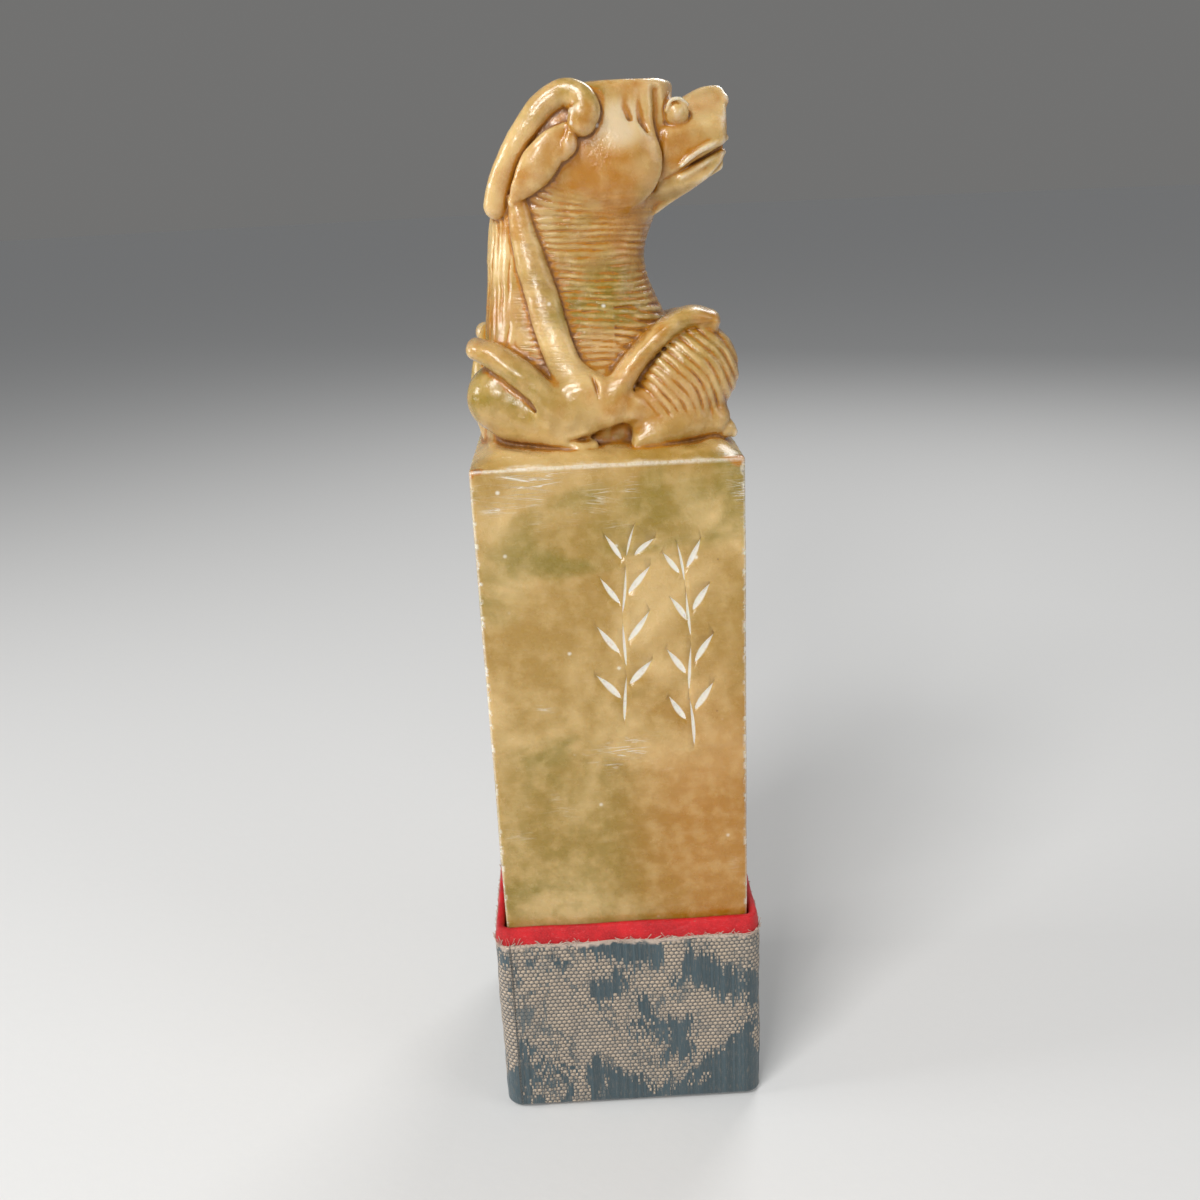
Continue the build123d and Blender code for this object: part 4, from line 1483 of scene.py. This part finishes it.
def make_frays(path):
    """Loose threads along the outer cloth's cut edge, and a few long ones at the front's left corner.

    A thread starts at its root, leans along the edge and rises, and bends outwards with its length's square.
    Each of its steps is a ring of points, and its ends are closed.
    """
    base, way, _ = path
    random = np.random.default_rng(5)
    roots = random.integers(0, len(base), FRAYS)
    roots[:LONG_FRAYS] = random.integers(-6, 4, LONG_FRAYS) % len(base)
    length = random.uniform(0.35, 1.0, FRAYS)
    length[:LONG_FRAYS] = random.uniform(0.9, 1.4, LONG_FRAYS)
    lean = np.radians(random.uniform(8, 60, FRAYS)) * random.choice([-1, 1], FRAYS)
    lean[:LONG_FRAYS] = np.radians(random.uniform(55, 125, LONG_FRAYS))
    bend = random.uniform(0.02, 0.22, FRAYS)
    thick = random.uniform(0.030, 0.055, FRAYS)
    side = np.stack([-way[:, 1], way[:, 0]], 1)[roots]
    out = way[roots]
    root = CLOTH_TOP - random.uniform(0.05, 0.35, FRAYS)
    s = np.linspace(0, 1, FRAY_STEPS)[None, :, None]
    start = base[roots] + out * (HALF_CASE - CORNER_CENTRE - 0.03)
    along = (np.cos(lean) * np.sign(lean) * length)[:, None, None] * s
    flat = start[:, None] + side[:, None] * along + out[:, None] * (bend * length)[:, None, None] * s**2
    rise = (np.abs(np.sin(lean)) * length)[:, None, None] * s - (0.35 * length * bend)[:, None, None] * s**2
    middle = np.concatenate([flat, root[:, None, None] + rise], 2)
    turn = np.linspace(0, 2 * np.pi, FRAY_SIDES, endpoint=False)[:, None]
    outward = np.concatenate([out, np.zeros((FRAYS, 1))], 1)[:, None, None]
    ring = np.cos(turn) * outward + np.sin(turn) * np.array([0, 0, 1.0])
    points = middle[:, :, None] + thick[:, None, None, None] * ring
    wall = grid_faces(FRAY_STEPS, FRAY_SIDES, wrap_rows=False)
    first = np.arange(FRAY_SIDES)[None]
    one = np.concatenate([wall, first[:, ::-1], first + (FRAY_STEPS - 1) * FRAY_SIDES])
    faces = (one + FRAY_STEPS * FRAY_SIDES * np.arange(FRAYS)[:, None, None]).reshape(-1, FRAY_SIDES)
    frays = mesh_object("brocade_frays", points.reshape(-1, 3), faces)
    face_outwards(frays)
    frays.data.materials.append(thread_material())
    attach(frays, "case")
    return frays


def make_brocade():
    """The outer cloth: up the case's sides, folded in at the top, and turned in under the foot."""
    path = square_path(0.24, 12)
    rise = np.linspace(CLOTH_FOOT + 0.7, CLOTH_TOP - 0.12, 84)
    bend, fold = 0.6, CLOTH_THICK / 2
    profile = (
        arc((HALF_CASE - bend, CLOTH_FOOT + bend), bend, -90, 0, 7)
        + [(HALF_CASE, z) for z in rise]
        + arc((HALF_CASE - fold, CLOTH_TOP - fold), fold, 0, 180, 7)[1:]
        + [(HALF_LIP, z) for z in (CLOTH_TOP - 1, 14.0, 8.0, 2.0)]
        + [(HALF_LIP, CLOTH_FOOT + CLOTH_THICK), (HALF_CASE - TURN_IN, CLOTH_FOOT + CLOTH_THICK)]
        + [(HALF_CASE - TURN_IN, CLOTH_FOOT), (HALF_CASE - 2, CLOTH_FOOT)]
    )
    points = carried(profile, path)
    gone = path[2][:, None]
    half, height = np.array(profile).T
    outside = (half > HALF_LIP + 0.2) & (height > CLOTH_FOOT + 0.1)
    swell = 0.05 * np.sin(0.42 * gone + 0.3 * height) * np.sin(0.31 * height + 0.9)
    swell = swell + 0.03 * np.sin(1.4 * gone - 0.5 * height) + 0.02 * np.sin(2.3 * height + 0.8 * gone)
    swell = swell + 0.06 * smooth_step(height, CLOTH_TOP - 1.4, CLOTH_TOP - 0.5) * np.sin(0.9 * gone + 1.0)
    points[..., :2] += path[1][:, None] * (swell * outside)[..., None]
    points[..., 2] += 0.07 * np.sin(0.7 * gone + 0.4) * smooth_step(height, CLOTH_TOP - 1.0, CLOTH_TOP - 0.2)
    cloth = cloth_object("brocade_cloth", profile, path, points)
    cloth.data.materials.append(brocade_material())
    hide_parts("brocade_wrap")
    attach(cloth, "case")
    make_frays(path)


def make_lining():
    """The red satin: inside the socket, over the padded lip and down outside to its hem under the brocade."""
    path = square_path(0.4, 12)
    middle = (HALF_SOCKET + HALF_LIP) / 2
    top = LIP_TOP - LIP_ROUND
    profile = (
        [(HALF_LIP, z) for z in np.linspace(HEM, top - 0.1, 22)]
        + arc((middle, top), LIP_ROUND, 0, 180, 13)
        + [(HALF_SOCKET, z) for z in np.linspace(top - 0.3, FLOOR_TOP, 26)]
        + [(HALF_BOARD_IN, FLOOR_TOP), (HALF_BOARD_IN, 8.0), (HALF_BOARD_IN, 15.0), (HALF_BOARD_IN, top)]
        + arc((middle, top), LIP_ROUND - 0.15, 180, 0, 7)[1:]
        + [(HALF_BOARD_OUT, 20.0), (HALF_BOARD_OUT, HEM)]
    )
    points = carried(profile, path)
    gone = path[2][:, None]
    half, height = np.array(profile).T
    outer = (half > HALF_LIP - 0.25) & (height > HEM + 0.2)
    seam = (gone - 13.4) - (height - 20.6) * 3.6
    fold = 0.05 * smooth_step(seam, -0.2, 0.2) * (1 - smooth_step(seam, 3, 7))
    crease = (fold - 0.10 * np.exp(-((seam / 0.35) ** 2))) * (gone > 8) * (gone < 24)
    swell = 0.025 * np.sin(1.1 * gone + 2.1 * height) + 0.02 * np.sin(2.9 * gone - 1.2 * height)
    swell = swell + 0.15 * np.sin(np.pi * np.clip((height - CLOTH_TOP + 0.6) / (top - CLOTH_TOP + 0.6), 0, 1))
    points[..., :2] += path[1][:, None] * ((swell + crease) * outer)[..., None]
    points[..., 2] += (0.04 * np.sin(0.6 * gone) + 0.05) * smooth_step(height, top - 0.2, top + 0.2)
    lining = cloth_object("satin_lining_cloth", profile, path, points)
    lining.data.materials.append(satin_material())
    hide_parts("satin_lining")
    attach(lining, "case")


def capped(name, profile, path, dent, uv=False):
    """A profile from the top's middle, over the rim and back to the middle below, closed at both ends."""
    points = carried(profile, path)
    points[..., 2] += dent(points[..., 0], points[..., 1], points[..., 2])
    rows, columns = points.shape[:2]
    faces = grid_faces(rows, columns, wrap_columns=False)
    places = points.reshape(-1, 3)
    around = None
    if uv:
        around = places[:, :2] + (places[:, 2:] - places[:, 2:].max()) * 0.7
    made = mesh_object(name, places, faces, around)
    ends = bmesh.new()
    ends.from_mesh(made.data)
    ends.verts.ensure_lookup_table()
    rings = [[ends.verts[i * columns + j] for i in range(rows)] for j in (0, columns - 1)]
    for ring in rings:
        bmesh.ops.pointmerge(ends, verts=ring, merge_co=sum((v.co for v in ring), Vector()) / rows)
    bmesh.ops.recalc_face_normals(ends, faces=ends.faces)
    ends.to_mesh(made.data)
    ends.free()
    made.data.shade_smooth()
    return made


def pad_dent(x, y, z):
    """The pad's top: pressed flat by the stone, with slight puckers towards its rim."""
    up = smooth_step(z, 3.0, 3.6)
    rim = smooth_step(np.maximum(np.abs(x), np.abs(y)), 9.5, 12)
    around = np.arctan2(y, x)
    pucker = 0.10 * rim * (1 + np.sin(17 * around))
    return up * (-0.05 - 0.04 * np.sin(0.8 * x + 1) * np.sin(0.9 * y) - pucker)


def make_pad():
    """The cotton pad on the case's floor, and the satin over it."""
    path = square_path(0.8, 6)
    rim, thick, bend = COVER_HALF, 0.15, 0.5
    across = np.linspace(0.05, rim - 0.8, 26)
    centre = (rim - bend, COVER_TOP - bend)
    levels = (2.9, 2.3, 1.8, FLOOR_TOP)
    profile = (
        [(h, COVER_TOP) for h in across]
        + arc(centre, bend, 90, 0, 8)
        + [(rim, z) for z in levels]
        + [(rim - thick, z) for z in levels[::-1]]
        + arc(centre, bend - thick, 0, 90, 8)
        + [(h, COVER_TOP - thick) for h in across[::-1]]
    )
    cover = capped("pad_cover_cloth", profile, path, pad_dent, uv=True)
    cover.data.materials.append(bpy.data.materials["red_satin"])
    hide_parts("pad_cover")
    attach(cover, "case")
    rim = COTTON_HALF
    profile = (
        [(h, COTTON_TOP) for h in np.linspace(0.05, rim - 0.8, 20)]
        + arc((rim - 0.45, COTTON_TOP - 0.47), 0.45, 90, 0, 7)
        + arc((rim - 0.3, FLOOR_TOP + 0.32), 0.3, 0, -90, 5)
        + [(h, FLOOR_TOP + 0.02) for h in np.linspace(rim - 0.8, 0.05, 12)]
    )
    cotton = capped("pad_cotton", profile, path, pad_dent)
    cotton.data.materials.append(cotton_material())
    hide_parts("pad_wadding")
    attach(cotton, "case")


def dress_boards():
    """Card and paper on the nodes that keep their shape."""
    card = card_material()
    kraft = paper_material("kraft_paper", colour("kraft"))
    foot = paper_material("foot_paper", tinted(colour("card"), 0.8))
    for node, material in (
        ("floor_board", card), ("front_wall_board", card), ("rear_wall_board", card),
        ("left_wall_board", card), ("right_wall_board", card), ("corner_stays", kraft),
        ("backing_paper", kraft), ("foot_sheet", foot),
    ):
        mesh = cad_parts[node].data
        mesh.materials.clear()
        mesh.materials.append(material)


# Stage, in metres

# Each lamp's place, what it looks at, its width and its power in watts
LAMPS = {
    "key_lamp": ((-0.16, -0.22, 0.34), (0, 0, 0.06), 0.11, 0.78),
    "front_lamp": ((-0.10, -0.31, 0.19), (0, 0, 0.08), 0.07, 0.42),
    "fill_lamp": ((0.34, -0.20, 0.20), (0, 0, 0.05), 0.22, 0.28),
    "side_lamp": ((-0.34, -0.02, 0.16), (0, 0, 0.07), 0.10, 0.38),
    "back_lamp": ((0.14, 0.28, 0.32), (0, 0, 0.08), 0.16, 0.50),
}
WORLD_LIGHT = (0.95, 0.97, 1.0)
WORLD_STRENGTH = 0.22
FLOOR_RADII = (0.05, 0.2, 0.6, 1.5, 4.0)

# Where the photograph was taken from, and the ways to its right, its top and into it
CAMERA_PLACE = (-0.00294, -0.11795, 0.09413)
CAMERA_WAYS = ((0.9985, -0.032, -0.0449), (0.0529, 0.3297, 0.9426), (0.0154, 0.9435, -0.3309))


def make_floor():
    """A wide round floor."""
    turn = np.linspace(0, 2 * np.pi, 64, endpoint=False)
    radii = np.array(FLOOR_RADII)[:, None]
    rings = np.stack(np.broadcast_arrays(radii * np.cos(turn), radii * np.sin(turn), 0.0), -1)
    faces = grid_faces(*rings.shape[:2], wrap_rows=False).tolist()
    floor = mesh_object("stage_floor", rings.reshape(-1, 3) / MM, faces + [list(range(len(turn)))])
    floor.data.materials.append(floor_material())


def make_world():
    """An even light from all round, which the camera sees in the floor's colour."""
    world = bpy.context.scene.world or bpy.data.worlds.new("studio")
    bpy.context.scene.world = world
    world.use_nodes = True
    tree = world.node_tree
    tree.nodes.clear()
    looks = {0: wire(tree, "LightPath", output="Is Camera Ray")}
    for number, tone in ((1, WORLD_LIGHT), (2, colour("floor"))):
        looks[number] = wire(tree, "Background", {"Color": (*tone, 1), "Strength": WORLD_STRENGTH})
    add_node(tree, "OutputWorld", {"Surface": wire(tree, "MixShader", looks)})


def make_lamp(name, place, aim, size, power):
    """A square lamp that looks at its aim."""
    lamp = bpy.data.lights.new(name, "AREA")
    lamp.shape = "SQUARE"
    lamp.size = size
    lamp.energy = power
    made = bpy.data.objects.new(name, lamp)
    made.location = place
    made.rotation_euler = (Vector(place) - Vector(aim)).to_track_quat("Z", "Y").to_euler()
    bpy.context.scene.collection.objects.link(made)


def make_camera():
    """The camera, where the photograph was taken."""
    camera = bpy.data.cameras.new("photo_camera")
    camera.sensor_fit = "HORIZONTAL"
    camera.sensor_width = 36
    camera.lens = 36
    camera.clip_start = 0.01
    made = bpy.data.objects.new("photo_camera", camera)
    right, up, ahead = (Vector(way).normalized() for way in CAMERA_WAYS)
    turned = Matrix((right, up, -ahead)).transposed().to_4x4()
    turned.translation = Vector(CAMERA_PLACE)
    made.matrix_world = turned
    bpy.context.scene.collection.objects.link(made)
    bpy.context.scene.camera = made
    bpy.context.scene.view_settings.view_transform = "Standard"


def make_stage():
    """A pale floor and world, five soft lamps, and the camera."""
    make_floor()
    make_world()
    for name, settings in LAMPS.items():
        make_lamp(name, *settings)
    make_camera()


# Add-on

class SealSizes(bpy.types.PropertyGroup):
    """Sizes that can be changed before the seal is made."""

    carving_cell: bpy.props.FloatProperty(
        name="Carving step", description="Distance between the carving's points",
        default=0.15 * MM, min=0.1 * MM, max=1 * MM, precision=5, subtype="DISTANCE", unit="LENGTH",
    )
    stone_triangles: bpy.props.IntProperty(
        name="Stone faces", description="Triangles that are kept on the carving",
        default=150000, min=20000, max=180000,
    )


def colour_property(name, label, description):
    """A colour setting whose default is the table's."""
    return bpy.props.FloatVectorProperty(
        name=label, description=description, default=COLOURS[name], size=3, min=0, max=1, subtype="COLOR",
    )


class SealColours(bpy.types.PropertyGroup):
    """Colours that can be changed before the seal is made."""

    stone: colour_property("stone", "Stone", "Main tan of the soapstone")
    cream: colour_property("cream", "Cream clouds", "Palest clouds in the stone")
    olive: colour_property("olive", "Olive veils", "Greenish veils in the stone")
    amber: colour_property("amber", "Amber", "Warm see-through parts of the stone")
    patina: colour_property("patina", "Patina", "Dirt in the carving's cuts")
    blush: colour_property("blush", "Blush", "Pinkish parts of the beast")
    powder: colour_property("powder", "Powder", "Fresh and worn stone")
    satin: colour_property("satin", "Satin", "Lining of the socket")
    brocade: colour_property("brocade", "Brocade", "Ground of the outer cloth")
    figure: colour_property("figure", "Figure", "Clouds woven in the outer cloth")
    thread: colour_property("thread", "Thread", "Frayed edge of the outer cloth")
    card: colour_property("card", "Card", "Boards of the case")
    kraft: colour_property("kraft", "Brown paper", "Papers between boards and cloth")
    cotton: colour_property("cotton", "Cotton", "Wadding of the pad")
    floor: colour_property("floor", "Floor", "Floor of the stage")


class SEAL_OT_stone(bpy.types.Operator):
    """Carves the seal stone with its beast, its printing face and the sprigs cut in its front"""

    bl_idname = "seal.stone"
    bl_label = "Carve the stone"

    def execute(self, context):
        stone = carve_stone()
        stone.data.materials.clear()
        stone.data.materials.append(stone_material())
        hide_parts("seal_stone")
        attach(stone, "seal")
        return {"FINISHED"}


class SEAL_OT_lining(bpy.types.Operator):
    """Makes the red satin in the socket and over its lip"""

    bl_idname = "seal.lining"
    bl_label = "Line the socket"

    def execute(self, context):
        make_lining()
        return {"FINISHED"}


class SEAL_OT_pad(bpy.types.Operator):
    """Makes the pad that the stone stands on, with its cover"""

    bl_idname = "seal.pad"
    bl_label = "Fill the pad"

    def execute(self, context):
        make_pad()
        return {"FINISHED"}


class SEAL_OT_brocade(bpy.types.Operator):
    """Makes the woven cloth round the case"""

    bl_idname = "seal.brocade"
    bl_label = "Wrap the case"

    def execute(self, context):
        make_brocade()
        return {"FINISHED"}


class SEAL_OT_boards(bpy.types.Operator):
    """Finishes the case's boards and papers"""

    bl_idname = "seal.boards"
    bl_label = "Finish the boards"

    def execute(self, context):
        dress_boards()
        return {"FINISHED"}


class SEAL_OT_stage(bpy.types.Operator):
    """Sets up floor, lamps and camera"""

    bl_idname = "seal.stage"
    bl_label = "Set the stage"

    def execute(self, context):
        make_stage()
        return {"FINISHED"}


OPERATORS = (SEAL_OT_stage, SEAL_OT_stone, SEAL_OT_lining, SEAL_OT_pad, SEAL_OT_brocade, SEAL_OT_boards)


class SEAL_PT_panel(bpy.types.Panel):
    """Lists the settings and the steps"""

    bl_label = "Seal"
    bl_idname = "SEAL_PT_panel"
    bl_space_type = "VIEW_3D"
    bl_region_type = "UI"
    bl_category = "Seal"

    def draw(self, context):
        for group in (context.scene.seal_sizes, context.scene.seal_colours):
            box = self.layout.box()
            for name in group.__annotations__:
                box.prop(group, name)
        for operator in OPERATORS:
            self.layout.operator(operator.bl_idname)


CLASSES = (SealSizes, SealColours, *OPERATORS, SEAL_PT_panel)


def register():
    """Adds the classes and the settings to Blender."""
    for each in CLASSES:
        bpy.utils.register_class(each)
    bpy.types.Scene.seal_sizes = bpy.props.PointerProperty(type=SealSizes)
    bpy.types.Scene.seal_colours = bpy.props.PointerProperty(type=SealColours)


def unregister():
    """Takes them out again."""
    del bpy.types.Scene.seal_colours
    del bpy.types.Scene.seal_sizes
    for each in reversed(CLASSES):
        bpy.utils.unregister_class(each)


def main():
    """Makes everything in order."""
    register()
    bpy.ops.seal.stage()
    bpy.ops.seal.stone()
    bpy.ops.seal.lining()
    bpy.ops.seal.pad()
    bpy.ops.seal.brocade()
    bpy.ops.seal.boards()


if __name__ == "__main__":
    main()
